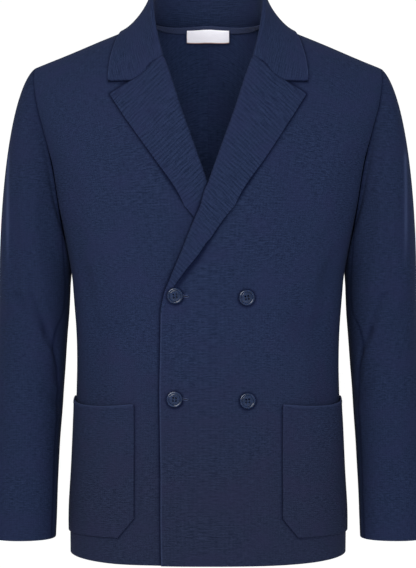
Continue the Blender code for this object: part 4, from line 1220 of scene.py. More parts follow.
@dataclass
class ClothShell:
    """Sheet of cloth as a closed shell round a grid of middle points.

    All its borders have a rounded nose. A sewn border is pulled back by the nose, so
    that the noses of two pieces meet in a soft groove.
    """

    name: str
    middles: np.ndarray
    uv: np.ndarray
    outward: np.ndarray
    thickness: float
    finish: Finish
    sewn: tuple[Edge, ...] = ()
    rounded: tuple[tuple[Edge, Edge, float], ...] = ()
    # Painted light at each point: painted shade where positive, painted highlight where negative.
    recess: np.ndarray | None = None
    reverse: Finish | None = None
    reach: float = 6.0
    dip: float = 0.8
    dip_reach: float = 2.4
    # Painted shade along the sewn borders: its strength and how fast it fades.
    seam_mark: float = 0.70
    seam_fade: float = 5.0
    nose_steps: int = 6
    sewn_nose: float = 0.5
    overlap: float = 0.2

    def _pull_back(self) -> None:
        """Moves the cloth near a sewn border inwards along the cloth."""
        pull = self.thickness / 2 * self.sewn_nose - self.overlap
        for edge in self.sewn:
            grid = self._turned(edge, self.middles)
            inward = unit(grid[3] - grid[0])
            share = np.maximum(0, 1 - lengths(grid) / self.reach)
            grid += inward[None] * (share * pull)[..., None]

    def away(self, edge: Edge) -> np.ndarray:
        """Distance of each point from a border, in the grid's own order."""
        away = np.zeros(self.middles.shape[:2])
        self._turned(edge, away)[:] = lengths(self._turned(edge, self.middles))
        return away

    def _sink_seams(self) -> None:
        """Lets the cloth dip towards its sewn borders and paints shade along them."""
        if self.recess is None:
            self.recess = np.zeros(self.middles.shape[:2])
        if not self.sewn:
            return
        normals = self.normals()
        near = np.max([np.exp(-((self.away(e) / self.dip_reach) ** 2)) for e in self.sewn], axis=0)
        self.middles = self.middles - normals * (self.dip * near)[..., None]
        # Painted shade near the sewn borders.
        seam = np.min([self.away(e) for e in self.sewn], axis=0)
        self.recess = np.maximum(self.recess, self.seam_mark - seam / self.seam_fade)

    def _round_corners(self) -> None:
        """Moves the points near a corner so that its outline is an arc."""
        for first, second, radius in self.rounded:
            near = [self.away(edge) for edge in (first, second)]
            runs = []
            for edge in (first, second):
                grid = self._turned(edge, self.middles)
                run = np.zeros_like(self.middles)
                self._turned(edge, run)[:] = unit(np.gradient(grid, axis=0))
                runs.append(run)
            left = np.clip(1 - np.stack(near, axis=-1) / radius, 0, 1)
            length = np.linalg.norm(left, axis=-1, keepdims=True)
            kept = left * left.max(axis=-1, keepdims=True) / np.maximum(length, TINY)
            shift = (left - kept) * radius * (left.min(axis=-1, keepdims=True) > 0)
            self.middles = self.middles + runs[0] * shift[..., :1] + runs[1] * shift[..., 1:]

    def _turned(self, edge: Edge, grid: np.ndarray) -> np.ndarray:
        """View of a grid in which that border is the first row."""
        if edge in (Edge.FIRST_COLUMN, Edge.LAST_COLUMN):
            grid = grid.swapaxes(0, 1)
        return grid[::-1] if edge in (Edge.LAST_ROW, Edge.LAST_COLUMN) else grid

    def normals(self) -> np.ndarray:
        """Directions of the cloth, worked out from its own grid."""
        down = np.gradient(self.middles, axis=0)
        across = np.gradient(self.middles, axis=1)
        found = unit(np.cross(across, down))
        middle = found[found.shape[0] // 2, found.shape[1] // 2]
        self.sign = 1.0 if middle @ self.outward > 0 else -1.0
        return found * self.sign

    def build(self) -> bpy.types.Object:
        """Makes the object and dresses it."""
        self._pull_back()
        self._sink_seams()
        self._round_corners()
        normals = self.normals()
        rows, columns = self.middles.shape[:2]
        half = normals * self.thickness / 2
        skins = [self.middles + half, self.middles - half]
        points = [skins[0].reshape(-1, 3), skins[1].reshape(-1, 3)]
        uvs = [self.uv.reshape(-1, 2)] * 2
        marks = [self.recess.ravel()] * 2
        index = np.arange(rows * columns).reshape(rows, columns)
        a, b, c, d = index[:-1, :-1], index[:-1, 1:], index[1:, 1:], index[1:, :-1]
        quads = np.stack([a, b, c, d], axis=-1).reshape(-1, 4)
        faces = [quads, quads[:, ::-1] + rows * columns]
        ring, offs = self._border(normals)
        total = 2 * rows * columns
        flat_normals = normals.reshape(-1, 3)[ring]
        flat_middles = self.middles.reshape(-1, 3)[ring]
        flat_uv = self.uv.reshape(-1, 2)[ring]
        flat_painted_marks = self.recess.ravel()[ring]
        loops = [ring]
        for step in range(1, self.nose_steps):
            turn = math.pi / 2 - math.pi * step / self.nose_steps
            reach = offs * math.cos(turn) + flat_normals * math.sin(turn)
            points.append(flat_middles + reach * self.thickness / 2)
            uvs.append(flat_uv)
            marks.append(flat_painted_marks)
            loops.append(np.arange(len(ring)) + total)
            total += len(ring)
        loops.append(ring + rows * columns)
        for near, far in zip(loops, loops[1:]):
            turned = [near, far, np.roll(far, -1), np.roll(near, -1)]
            faces.append(np.stack(turned, axis=-1))
        found = np.concatenate(faces)
        if self.sign < 0:
            found = found[:, ::-1]
        made = self._object(np.concatenate(points), found, np.concatenate(uvs))
        if self.reverse:
            made.data.materials.append(self.reverse.material())
            slots = np.zeros(len(found), np.int32)
            slots[len(quads) : 2 * len(quads)] = 1
            made.data.polygons.foreach_set("material_index", slots)
        # Keeps the painted shade and painted highlight marks on the points, for the knit's colour.
        layer = made.data.attributes.new(PAINTED_LIGHT_LAYER, "FLOAT", "POINT")
        layer.data.foreach_set("value", np.concatenate(marks).astype(np.float32))
        return made

    def _border(self, normals: np.ndarray) -> tuple[np.ndarray, np.ndarray]:
        """Numbers of the points round the border and the directions out of it."""
        rows, columns = self.middles.shape[:2]
        index = np.arange(rows * columns).reshape(rows, columns)
        ring = np.concatenate([index[0, :-1], index[:-1, -1], index[-1, :0:-1], index[:0:-1, 0]])
        out = np.zeros((rows, columns, 3))
        for edge in Edge:
            grid = self._turned(edge, self.middles)
            cloth = self._turned(edge, normals)
            target = self._turned(edge, out)
            run = np.gradient(grid[0], axis=0)
            off = unit(np.cross(run, cloth[0]))
            facing = np.sign((off * (grid[0] - grid[1])).sum(-1, keepdims=True))
            reach = self.sewn_nose if edge in self.sewn else 1.0
            target[0] += off * np.where(facing == 0, 1, facing) * reach
        return ring, out.reshape(-1, 3)[ring]

    def _object(self, points: np.ndarray, faces: np.ndarray, uvs: np.ndarray) -> bpy.types.Object:
        """Mesh object in metres with its map and its finish."""
        mesh = bpy.data.meshes.new(self.name)
        mesh.from_pydata((points * MM).tolist(), [], faces.tolist())
        layer = mesh.uv_layers.new(name=UV_NAME)
        order = np.empty(len(mesh.loops), np.int64)
        mesh.loops.foreach_get("vertex_index", order)
        layer.data.foreach_set("uv", (uvs[order] * MM).astype(np.float32).ravel())
        mesh.shade_smooth()
        mesh.materials.append(self.finish.material())
        made = bpy.data.objects.new(self.name, mesh)
        bpy.context.scene.collection.objects.link(made)
        return made


@dataclass(frozen=True)
class FlatCut:
    """Flat cut of a sheet: width, length and area, in metres."""

    width: float
    length: float
    area: float


def place_sheet(
    shell: ClothShell, node: str, cut: FlatCut
) -> None:
    """Builds a sheet, hides its solid and logs its faces and area.

    Args:
        shell: The cloth.
        node: Solid that it stands for.
        cut: Its flat cut; not used.
    """
    made = shell.build()
    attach(made, BODY)
    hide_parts(node)
    area = sum(face.area for face in made.data.polygons) / 2
    LOG.info("%s: %d faces, %.4f m2 of cloth", made.name, len(made.data.polygons), area)


@dataclass
class BodyPanels:
    """The two fronts and the two halves of the back."""

    cloth: ClothForm
    outline: Outline
    pocket_area: list[Spot]
    button_centres: list[Spot]
    thickness: float = 1.8
    spacing: float = 2.9
    seam_length: float = 385.0
    armhole_length: float = 300.0
    width: float = 240.0
    dip: float = 0.15
    sewn_nose: float = 0.3
    # Painted shade along the seams of the fronts and of the back.
    front_seam_mark: float = 0.52
    back_seam_mark: float = 0.4
    # Painted shade in the creases.
    fold_mark: float = 0.03
    # Painted highlight along the front edge, and its width.
    rim_mark: float = 0.34
    rim_width: float = 1.6
    # Painted shadows beside the lapel, the collar, the pocket and the buttons or the other front.
    cover_marks: tuple[float, float, float, float] = (1.0, 0.76, 0.84, 1.0)
    cover_reach: tuple[float, float, float] = (1.1, 1.1, 0.9)
    button_reach: float = 0.5
    shade_width: float = 6.0
    lapel_shade: float = 3.2
    lapel_spread: float = 3.5
    lapel_shade_z: Spot = (-325, -265)
    lapel_free_z: Spot = (-366, -346)
    front_cut: FlatCut = FlatCut(0.335, 0.745, 0.186)
    back_cut: FlatCut = FlatCut(0.275, 0.745, 0.165)

    def rows(self) -> np.ndarray:
        """Shares up a panel, the same for fronts and backs."""
        knot = self.outline.side_rows
        low = graded(self.seam_length, self.spacing, True, False) * knot
        high = knot + graded(self.armhole_length, self.spacing, False, True) * (1 - knot)
        return np.concatenate([low[:-1], high])

    def panel(self, face: Face, side: Side) -> ClothShell:
        """Cloth of one panel.

        Args:
            face: Front or back.
            side: Wearer's side.

        Returns:
            The cloth in its place.
        """
        outline, front = self.outline, face is Face.FRONT
        left = outline.front_edge() if front else outline.back_edge()
        hem = outline.hem(outline.front_edge_x if front else 0.0, face)
        edges = (left, outline.side(face), hem, outline.shoulder(face))
        places = coons(edges, graded(self.width, self.spacing), self.rows())
        points, _ = self.cloth.at(places, face, side, -self.thickness / 2)
        # Painted shadow beside what lies on a front, painted highlight on its edge and painted
        # shade in its creases.
        recess = self.shade(points, side) if front else np.zeros(points.shape[:2])
        folds = SHADE_START + self.fold_mark * self.cloth.folds(points, face, side)
        recess = np.where(recess < 0, recess, np.maximum(recess, folds))
        uv = np.stack([places[..., 0] * GIRTH_SCALE, places[..., 1]], axis=-1)
        sewn = (Edge.LAST_COLUMN, Edge.LAST_ROW)
        return ClothShell(
            f"{face.word}_{side.word}_cloth", mirrored(points, side),
            spread(uv, int(not front) + 2 * side.index),
            np.array([0.0, float(face.value), 0.1]), self.thickness, BODY_KNIT,
            sewn if front else (Edge.FIRST_COLUMN, *sewn), recess=recess,
            reverse=None if front else LIGHTENED_REVERSE_KNIT, dip=self.dip, sewn_nose=self.sewn_nose,
            seam_mark=self.front_seam_mark if front else self.back_seam_mark,
        )

    def shade(self, points: np.ndarray, side: Side) -> np.ndarray:
        """Painted shadow on a front beside what lies on it; painted highlight on its front edge.

        Args:
            points: Points of the front, not yet mirrored.
            side: Which front.

        Returns:
            The marks of painted shade, negative for painted highlight.
        """
        z = points[..., 2]
        marks = np.zeros(z.shape)
        for number, (area, reach) in enumerate(self.covers(side)):
            wide = np.where(number, 0, 1 - ease(*self.lapel_shade_z, z))
            gone = outside(points, area) - reach - self.lapel_shade * wide
            mark = 1 - gone / (self.shade_width + self.lapel_spread * wide)
            mark = mark * self.cover_marks[min(number, 3)]
            if not number:
                mark = mark * ease(*self.lapel_free_z, z)
            marks = np.maximum(marks, np.clip(mark, 0, SHADE_MOST))
        # Painted highlight along the front edge below the lapel.
        rim = np.linalg.norm(points - points[:, :1], axis=-1)
        rim = np.exp(-((rim / self.rim_width) ** 2)) * (z < self.lapel_free_z[0])
        return marks - self.rim_mark * rim

    def covers(self, side: Side) -> list[tuple[list[Spot], float]]:
        """What lies on a front: outlines and how far the pieces reach past them.

        They are the lapel, the collar, the pocket, and the buttons or the other front.
        """
        outline = self.outline
        areas = (outline.lapel_area(side), outline.collar_area(), self.pocket_area)
        found = list(zip(areas, self.cover_reach))
        if side is Side.RIGHT:
            return [*found, (outline.lapped_area(), 0.0)]
        rings = (outline.ring(centre) for centre in self.button_centres)
        return [*found, *((ring, self.button_reach) for ring in rings)]

    def build(self) -> None:
        """Builds the four panels."""
        for side in Side:
            for face, other, cut in (
                (Face.FRONT, Face.BACK, self.front_cut), (Face.BACK, Face.FRONT, self.back_cut),
            ):
                node, rests = f"{face.word}_{side.word}", [f"{other.word}_{side.word}"]
                place_sheet(self.panel(face, side), node, cut)


@dataclass
class Sleeves:
    """Two-piece sleeves, slightly bent, from the armhole to the cuff."""

    cloth: ClothForm
    outline: Outline
    thickness: float = 1.8
    loop_rows: int = 14
    under_front: int = 3
    under_back: int = 5
    top_z: float = -352
    cuff_z: float = -673
    squareness: float = 2.2
    cap_out: float = 0.75
    cap_spread: float = 0.42
    cap_down: float = 0.62
    cap_leave: float = 0.30
    cap_leave_lift: float = -0.165
    cap_arrive: float = 0.35
    cap_arrive_lift: float = 0.08
    cap_out_low: float = -0.28
    seam_fold: float = 1.0
    seam_fold_low: float = 1.6
    # Painted shade in the creases.
    fold_mark: float = 0.08
    # Painted highlight down the outer side of the sleeve: its width, strength, heights and place.
    pale_width: float = 3.0
    pale_mark: float = 0.55
    pale_low: Spot = (-352, -250)
    pale_high: Spot = (-158, -178)
    pale_x: Mapping[Side, float] = field(
        default_factory=lambda: {Side.RIGHT: 262.5, Side.LEFT: 258.5}
    )
    cap_length: float = 190.0
    cap_turn: Spot = (-1.0, -0.25)
    cap_steps: int = 56
    arm_steps: int = 104
    long_sway: float = 0.35
    long_waves: Spot = (61, 43)
    short_sway: float = 0.18
    short_waves: Spot = (24, 19)
    column_width: float = 12.0
    spacing: float = 3.2
    map_width: float = 11.5
    heart_x: float = 238.0
    dip: float = 0.15
    sewn_nose: float = 0.3
    # Painted shade along the sewn edges and beside the armhole.
    seam_mark: float = 0.80
    seam_fade: float = 10.0
    armhole_mark: float = 0.52
    fold_off: float = 5.0
    fold_width: float = 3.5
    upper_cut: FlatCut = FlatCut(0.31, 0.655, 0.137)
    under_cut: FlatCut = FlatCut(0.105, 0.47, 0.0345)
    sections: tuple[ArmSection, ...] = (
        ArmSection(-352, 231.0, 6, 47.0, 61.0, 243, 326),
        ArmSection(-378, 232.0, 6, 46.7, 59.5, 241, 325),
        ArmSection(-399, 233.0, 6, 46.3, 58.0, 226, 324),
        ArmSection(-417, 234.0, 6, 46.0, 57.0, 221, 324),
        ArmSection(-435, 234.8, 5, 45.6, 56.0, 226, 324),
        ArmSection(-455, 235.7, 4, 45.2, 55.0, 234, 324),
        ArmSection(-490, 237.3, -1, 44.6, 52.5, 240, 324),
        ArmSection(-560, 240.0, -12, 43.3, 48.5, 243, 325),
        ArmSection(-620, 241.5, -23, 42.9, 46.0, 244, 326),
        ArmSection(-673, 242.6, -33, 42.7, 44.0, 244, 326),
    )
    creases: Mapping[Side, tuple[Crease, ...]] = field(
        default_factory=lambda: {
            Side.LEFT: (
                Crease(180, -350, 206, -402, 5.5, 2.3, 0.25),
                Crease(206, -404, 226, -432, 5, 2.4, 0.25),
                Crease(228, -434, 236, -470, 7, 1.8), Crease(330, -395, 385, -430, 13, 3.0),
                Crease(150, -380, 186, -420, 8, 1.2, 0.5),
                Crease(120, -300, 172, -352, 13, 1.6, 0.5),
                Crease(90, -262, 130, -322, 16, 1.2, 0.4),
                Crease(214, -474, 256, -496, 9, 1.5, 0.5),
                Crease(340, -344, 398, -372, 11, 1.6, 0.5),
                Crease(348, -450, 396, -474, 11, 1.4, 0.5),
                Crease(150, -560, 196, -602, 18, 1.0, 0.4),
            ),
            Side.RIGHT: (
                Crease(178, -346, 204, -402, 5.5, 2.3, 0.25),
                Crease(205, -403, 226, -432, 5, 2.4, 0.25),
                Crease(228, -432, 236, -468, 7, 1.8), Crease(335, -405, 380, -432, 13, 3.0),
                Crease(150, -352, 196, -392, 8, 1.6, 0.5),
                Crease(112, -306, 166, -360, 13, 1.5, 0.5),
                Crease(96, -256, 138, -316, 16, 1.2, 0.4),
                Crease(210, -480, 252, -504, 9, 1.4, 0.5),
                Crease(336, -350, 392, -380, 11, 1.5, 0.5),
                Crease(352, -456, 400, -484, 11, 1.4, 0.5),
                Crease(146, -570, 190, -616, 18, 1.0, 0.4),
            ),
        }
    )

    def __post_init__(self) -> None:
        """Makes the curves of the sections and the armhole."""
        self._spline = {
            name: Spline([(row.z, getattr(row, name)) for row in self.sections])
            for name in ArmSection._fields[1:]
        }
        self._armhole = {face: self.outline.armhole_curve(face) for face in Face}

    def turns(self, z: float, columns: np.ndarray) -> np.ndarray:
        """Turn round the arm, in radians, of columns of 0 to 28 at a height."""
        upper = 2 * self.loop_rows - self.under_front - self.under_back
        under = self.under_front + self.under_back
        front, back = float(self._spline["front_seam"](z)), float(self._spline["back_seam"](z))
        over = back - 360 + (front - back + 360) * columns / upper
        below = front + (back - front) * (columns - upper) / under
        return np.radians(np.where(columns <= upper, over, below))

    def folds(self, turns: np.ndarray, z: float, side: Side) -> np.ndarray:
        """Depth of the creases at a height."""
        mean = (float(self._spline["half_width"](z)) + float(self._spline["half_depth"](z))) / 2
        creases = Creases(self.creases[side], math.radians(mean))
        degrees = np.degrees(turns)
        return creases.depth(degrees, z) + creases.depth(degrees + 360, z)

    def marks(self, outer: np.ndarray, columns: np.ndarray, side: Side) -> np.ndarray:
        """Painted shade in the creases and a painted highlight down a sleeve's outer side."""
        marks = np.zeros(outer.shape[:2])
        for number, row in enumerate(outer):
            z = float(row[0, 2])
            if number >= self.cap_rows:
                folds = self.folds(self.turns(z, columns), z, side)
                marks[number] = SHADE_START + self.fold_mark * np.maximum(folds, 0)
        x, y, z = np.moveaxis(outer, -1, 0)
        # Painted highlight in a band down the outer side, blended over the painted crease shade.
        off = np.exp(-(((x - self.pale_x[side]) / self.pale_width) ** 2))
        off = off * (y < 0) * ease(*self.pale_low, z) * ease(*self.pale_high, z)
        return marks * (1 - off) - self.pale_mark * off

    def arm(self, turns: np.ndarray, z: float, side: Side) -> np.ndarray:
        """Outer points of the hanging sleeve at a height."""
        x, y, half, depth = (
            float(self._spline[name](z)) for name in ("x", "y", "half_width", "half_depth")
        )
        power = 2 / self.squareness
        out = np.sign(np.sin(turns)) * np.abs(np.sin(turns)) ** power
        rear = np.sign(np.cos(turns)) * np.abs(np.cos(turns)) ** power
        inward = self.folds(turns, z, side)
        a, b = self.long_waves
        inward += self.long_sway * np.sin(3 * turns + z / a) * math.sin(z / b + side.value)
        a, b = self.short_waves
        inward += self.short_sway * np.sin(5 * turns - z / a) * math.sin(z / b)
        rise = np.full_like(turns, z)
        return np.stack([x + (half - inward) * out, y + (depth - inward) * rear, rise], axis=-1)

    def loop(self, numbers: np.ndarray) -> tuple[np.ndarray, np.ndarray]:
        """Outer points of the armhole at numbers from the tip, and turns there."""
        turns = math.pi / 2 + math.pi / self.loop_rows * numbers
        wound = np.mod(numbers, 2 * self.loop_rows)
        down = np.clip((self.loop_rows - wound) / self.loop_rows, 0, 1)
        up = np.clip((wound - self.loop_rows) / self.loop_rows, 0, 1)
        front = self.cloth.body.point(self._armhole[Face.FRONT](down), Face.FRONT)
        back = self.cloth.body.point(self._armhole[Face.BACK](up), Face.BACK)
        return np.where((wound <= self.loop_rows)[:, None], front, back), turns

    def grid(self, side: Side, columns: np.ndarray) -> np.ndarray:
        """Outer points of a sleeve in rows from the armhole to the cuff."""
        start, loop_turns = self.loop(columns + self.loop_rows + self.under_back)
        end = self.arm(self.turns(self.top_z, columns), self.top_z, side)
        reach = np.linalg.norm(end - start, axis=-1, keepdims=True)
        lift = np.maximum(0, np.sin(loop_turns))[:, None] ** 2
        low = self.cap_out_low
        outward = low + (1 - low) * ease(*self.cap_turn, np.sin(loop_turns))
        away = np.stack(
            [
                self.cap_out * outward,
                self.cap_spread * np.cos(loop_turns),
                np.full_like(loop_turns, -self.cap_down),
            ],
            axis=-1,
        )
        leave = start + unit(away) * reach * (self.cap_leave + self.cap_leave_lift * lift)
        up = np.array([0.0, 0.0, 1.0])
        arrive = end + up * reach * (self.cap_arrive + self.cap_arrive_lift * lift)
        cap = graded(self.cap_length, self.cap_length / self.cap_steps, True, False)[:-1]
        self.cap_rows = len(cap)
        rows = [cubic((start, leave, arrive, end), u) for u in cap]
        length = self.top_z - self.cuff_z
        for share in graded(length, length / self.arm_steps, False, True):
            z = self.top_z - length * share
            rows.append(self.arm(self.turns(z, columns), z, side))
        return np.array(rows)

    def panel(self, name: str, side: Side, low: int, high: int) -> ClothShell:
        """Cloth of one panel, with a soft fold beside the armhole.

        Args:
            name: Name of the piece.
            side: Wearer's side.
            low: Column of its first edge.
            high: Column of its last edge.

        Returns:
            The cloth in its place.
        """
        columns = low + graded((high - low) * self.column_width, self.spacing) * (high - low)
        outer = self.grid(side, columns)
        across = np.broadcast_to(columns * self.map_width, outer.shape[:2])
        uv = spread(np.stack([across, outer[..., 2]], axis=-1), 4 + side.index)
        middle = outer[len(outer) // 2]
        heart = np.array([self.heart_x, middle.mean(axis=0)[1], 0.0])
        outward = (middle[len(middle) // 2] - heart) * np.array([1.0, 1.0, 0.0])
        shell = ClothShell(
            name, mirrored(outer, side), uv, mirrored(outward, side), self.thickness,
            SHADED_SLEEVE_KNIT, (Edge.FIRST_ROW, Edge.FIRST_COLUMN, Edge.LAST_COLUMN), dip=self.dip,
            sewn_nose=self.sewn_nose, seam_mark=self.seam_mark, seam_fade=self.seam_fade,
        )
        _, turns = self.loop(columns + self.loop_rows + self.under_back)
        height = np.sin(turns)[None]
        lower = 1 - ease(-0.5, 0.6, height)
        away = shell.away(Edge.FIRST_ROW)
        fold = self.seam_fold * (1 - ease(0.2, 1.0, height)) + self.seam_fold_low * lower
        fold = fold * ease(-1.0, -0.8, height)
        width = self.fold_width + 1.5 * lower
        fold = fold * np.exp(-(((away - self.fold_off) / width) ** 2))
        marks = self.marks(outer, columns, side)
        # Painted shade beside the armhole seam, wider under the arm.
        seam = self.armhole_mark - 0.10 * lower - away / (6 + 14 * lower)
        shell.recess = np.where(marks < 0, marks, np.maximum(seam, marks))
        inward = self.thickness / 2 + fold
        shell.middles = shell.middles - shell.normals() * inward[..., None]
        return shell

    def build(self) -> None:
        """Builds upper and under panel of both sleeves."""
        total = 2 * self.loop_rows
        upper = total - self.under_front - self.under_back
        for side in Side:
            for piece, low, high, cut in (
                ("upper", 0, upper, self.upper_cut), ("under", upper, total, self.under_cut),
            ):
                name = f"sleeve_{piece}_{side.word}"
                shell = self.panel(f"{name}_cloth", side, low, high)
                place_sheet(shell, name, cut)


@dataclass
class Lapels:
    """Turned-back lapels: round the roll line, then flat on the front."""

    cloth: ClothForm
    outline: Outline
    button_centres: list[Spot]
    thickness: float = 2.2
    front_thickness: float = 1.8
    roll_height: float = 3.8
    flat_height: float = 3.1
    settle_steps: float = 3
    steps: float = 7
    merged_height: float = -0.75
    merge_start: float = 0.05
    merge_end: float = 0.20
    roll_points: int = 14
    roll_length: float = 330.0
    row_spacing: float = 4.0
    width: float = 115.0
    spacing: float = 3.5
    corner: float = 3.0
    button_reach: float = 0.5
    shade_width: float = 6.0
    cut: FlatCut = FlatCut(0.125, 0.345, 0.0178)

    def settle(self, share: np.ndarray, height: float) -> np.ndarray:
        """Height on a front at a share of the way from the roll to the edge."""
        fall = ease(0, self.settle_steps, share * self.steps)
        return self.roll_height + (height - self.roll_height) * fall

    def lapel(self, side: Side) -> ClothShell:
        """Cloth of one lapel."""
        roll, edge = self.outline.roll(), self.outline.lapel_side(side)
        rows = graded(self.roll_length, self.row_spacing)
        bottom_ends = [roll(np.array(0.0)), edge(np.array(0.0))]
        bottom = PlaceCurve(self.outline.body, bottom_ends, Face.FRONT)
        columns = graded(self.width, self.spacing, False, True)[1:]
        gorge = self.outline.gorge_to(self.outline.lapel_tip)
        places = coons((roll, edge, bottom, gorge), columns, rows)
        lift = ease(self.merge_start, self.merge_end, rows)[:, None]
        heights = self.settle(columns, self.flat_height)[None] * lift
        heights = heights + self.merged_height * (1 - lift)
        flat, _ = self.cloth.at(places, Face.FRONT, side, heights)
        low = -self.front_thickness / 2
        rolls, roll_places = [], []
        toward = np.array([-1.0, 0.0, 0.0])
        for share, raised in zip(rows, lift[:, 0]):
            top = self.merged_height + (self.roll_height - self.merged_height) * raised
            radius = (top - low) / 2
            point, normal, off = self.cloth.frame(roll, float(share), Face.FRONT, side, toward)
            turns = np.linspace(-math.pi / 2, math.pi / 2, self.roll_points)[:, None]
            arc = off * np.cos(turns) + normal * np.sin(turns)
            rolls.append(point + normal * (low + radius) + arc * radius)
            roll_places.append(np.repeat(roll(np.array([share])), self.roll_points, axis=0))
        points = np.concatenate([np.array(rolls), flat], axis=1)
        places = np.concatenate([np.array(roll_places), places], axis=1)
        covers = [(self.outline.lapped_area(), 0.0)]
        if side is Side.LEFT:
            rings = [self.outline.ring(centre) for centre in self.button_centres]
            covers = [(ring, self.button_reach) for ring in rings]
        # Painted shadow of the other front and of the buttons on the lapel.
        recess = np.zeros(points.shape[:2])
        for area, reach in covers:
            far = (outside(points, area) - reach) / self.shade_width
            recess = np.maximum(recess, np.clip(1 - far, 0, SHADE_MOST))
        return ClothShell(
            f"lapel_{side.word}_cloth", mirrored(points, side),
            spread(points[..., [0, 2]], 6 + side.index), np.array([0.0, -1.0, 0.2]),
            self.thickness, LAPEL_KNIT, (Edge.LAST_ROW,),
            ((Edge.LAST_ROW, Edge.LAST_COLUMN, self.corner),), recess,
        )

    def build(self) -> None:
        """Builds both lapels."""
        for side in Side:
            word = side.word
            place_sheet(self.lapel(side), f"lapel_{word}", self.cut)


@dataclass
class Collar:
    """Collar in one rolled piece: stand, fold and fall, from gorge to gorge."""

    cloth: ClothForm
    outline: Outline
    lapels: Lapels
    thickness: float = 2.2
    height: float = 3.3
    shoulder_height: float = 2.0
    fold_radius: float = 2.3
    leave: float = 0.30
    arrive: float = 0.35
    turn_short: float = 0.08
    turn_end: float = 0.4
    hang: float = 0.8
    hang_start: float = 0.62
    hang_end: float = 0.85
    end_share: float = 0.10
    stand_points: int = 14
    fold_points: int = 16
    aim_z: float = 60
    over_rise: Spot = (0.18, 0.34)
    over_fall: Spot = (0.85, 0.65)
    fall_length: float = 75.0
    fall_spacing: float = 2.6
    spacing: float = 3.2
    nape_columns: int = 40
    corner: float = 3.6
    # Painted shade along the neck seam and painted highlight along the lower edge.
    seam_mark: float = 0.50
    seam_fade: float = 5.0
    rim_mark: float = 0.3
    rim_width: float = 1.6
    rim_y: float = -30
    cut: FlatCut = FlatCut(0.50, 0.135, 0.050)
    columns: tuple[CollarColumn, ...] = (
        CollarColumn(0.00, 57.5, -88, -49, 127.2, -82, -82.2),
        CollarColumn(0.14, 66.3, -74, -19, 126.2, -71, -64),
        CollarColumn(0.28, 71.6, -57, 7, 123.4, -55, -43),
        CollarColumn(0.42, 73.8, -34, 30, 118.5, -30, -24),
        CollarColumn(0.55, 73.8, -4, 44, 112.5, 2, -10),
        CollarColumn(0.70, 69.5, 30, 50, 102.0, 35, -10),
        CollarColumn(0.84, 49.5, 59, 52.5, 80.0, 57.5, -10),
        CollarColumn(0.93, 25.0, 72.5, 53, 44.0, 75.5, -8),
        CollarColumn(1.00, 0.0, 77, 53, 0.0, 83, -2),
    )

    def __post_init__(self) -> None:
        """Makes the curves along the collar."""
        self._spline = {
            name: Spline([(row.along, getattr(row, name)) for row in self.columns])
            for name in CollarColumn._fields[1:]
        }
        self.fall_shares = graded(self.fall_length, self.fall_spacing, False, True)[1:]

    def _vector(self, word: str, along: float) -> np.ndarray:
        """Point of the fold or the edge at a place along the collar."""
        return np.array([float(self._spline[f"{word}_{axis}"](along)) for axis in "xyz"])

    def edge(self, along: float) -> tuple[np.ndarray, np.ndarray]:
        """Point under the collar's outer edge and the direction of the cloth there."""
        body = self.outline.body
        x, y, z = self._vector("edge", along)
        if y < 0:
            low = min(z, float(body.shoulder_line(x)))
            place, face = body.locate(x, low, Face.FRONT), Face.FRONT
        else:
            place, face = body.locate_back(x, y), Face.BACK
        over = float(ease(*self.over_rise, along) * ease(*self.over_fall, along))
        height = self.height + (self.shoulder_height - self.height) * over
        points, normals = self.cloth.at(place[None], face, Side.LEFT, height)
        return points[0], normals[0]

    def section(self, along: float, seam: tuple[np.ndarray, np.ndarray, np.ndarray]) -> np.ndarray:
        """Section from the neck seam up the stand, over the fold and down the fall."""
        point, normal, off = seam
        fold = self._vector("fold", along)
        start = point - normal * self.lapels.front_thickness / 2
        up = unit(fold - start)
        out = unit(normal - up * (normal @ up))
        middle = fold - up * self.fold_radius
        inner = middle - out * self.fold_radius
        rise = float(np.linalg.norm(inner - start))
        handles = (start, start + off * rise * self.leave, inner - up * rise * self.arrive, inner)
        stand = cubic(handles, np.linspace(0, 1, self.stand_points + 1)[:-1, None])
        last = math.pi * (1 - self.turn_short * float(ease(0, self.turn_end, along)))
        turns = np.linspace(0, last, self.fold_points)[:, None]
        fold_line = middle + (up * np.sin(turns) - out * np.cos(turns)) * self.fold_radius
        outer = fold_line[-1]
        away = unit(out * math.sin(last) + up * math.cos(last))
        edge, cloth = self.edge(along)
        reach = float(np.linalg.norm(edge - outer))
        back = outer - edge
        landing = 1.0 - self.hang * float(ease(self.hang_start, self.hang_end, along))
        back = unit(back - cloth * (back @ cloth) * landing)
        leave, arrive = outer + away * reach * self.leave, edge + back * reach * self.arrive
        fall = cubic((outer, leave, arrive, edge), self.fall_shares[:, None])
        return np.concatenate([stand, fold_line, fall])

    def end(self) -> np.ndarray:
        """Section along the gorge seam and the free lower edge."""
        seam = self.outline.front_neck()
        toward = np.array([-1.0, 0.0, 0.0])
        point, normal, off = self.cloth.frame(seam, 0.0, Face.FRONT, Side.LEFT, toward)
        low = -self.lapels.front_thickness / 2
        radius = (self.lapels.roll_height - low) / 2
        turns = np.linspace(-math.pi / 2, math.pi / 2, self.stand_points + self.fold_points)
        arc = off * np.cos(turns)[:, None] + normal * np.sin(turns)[:, None]
        rolled = point + normal * (low + radius) + arc * radius
        places = self.outline.gorge_to(self.outline.collar_corner)(self.fall_shares)
        heights = self.lapels.settle(self.fall_shares, self.height)
        flat, _ = self.cloth.at(places, Face.FRONT, Side.LEFT, heights)
        return np.concatenate([rolled, flat])

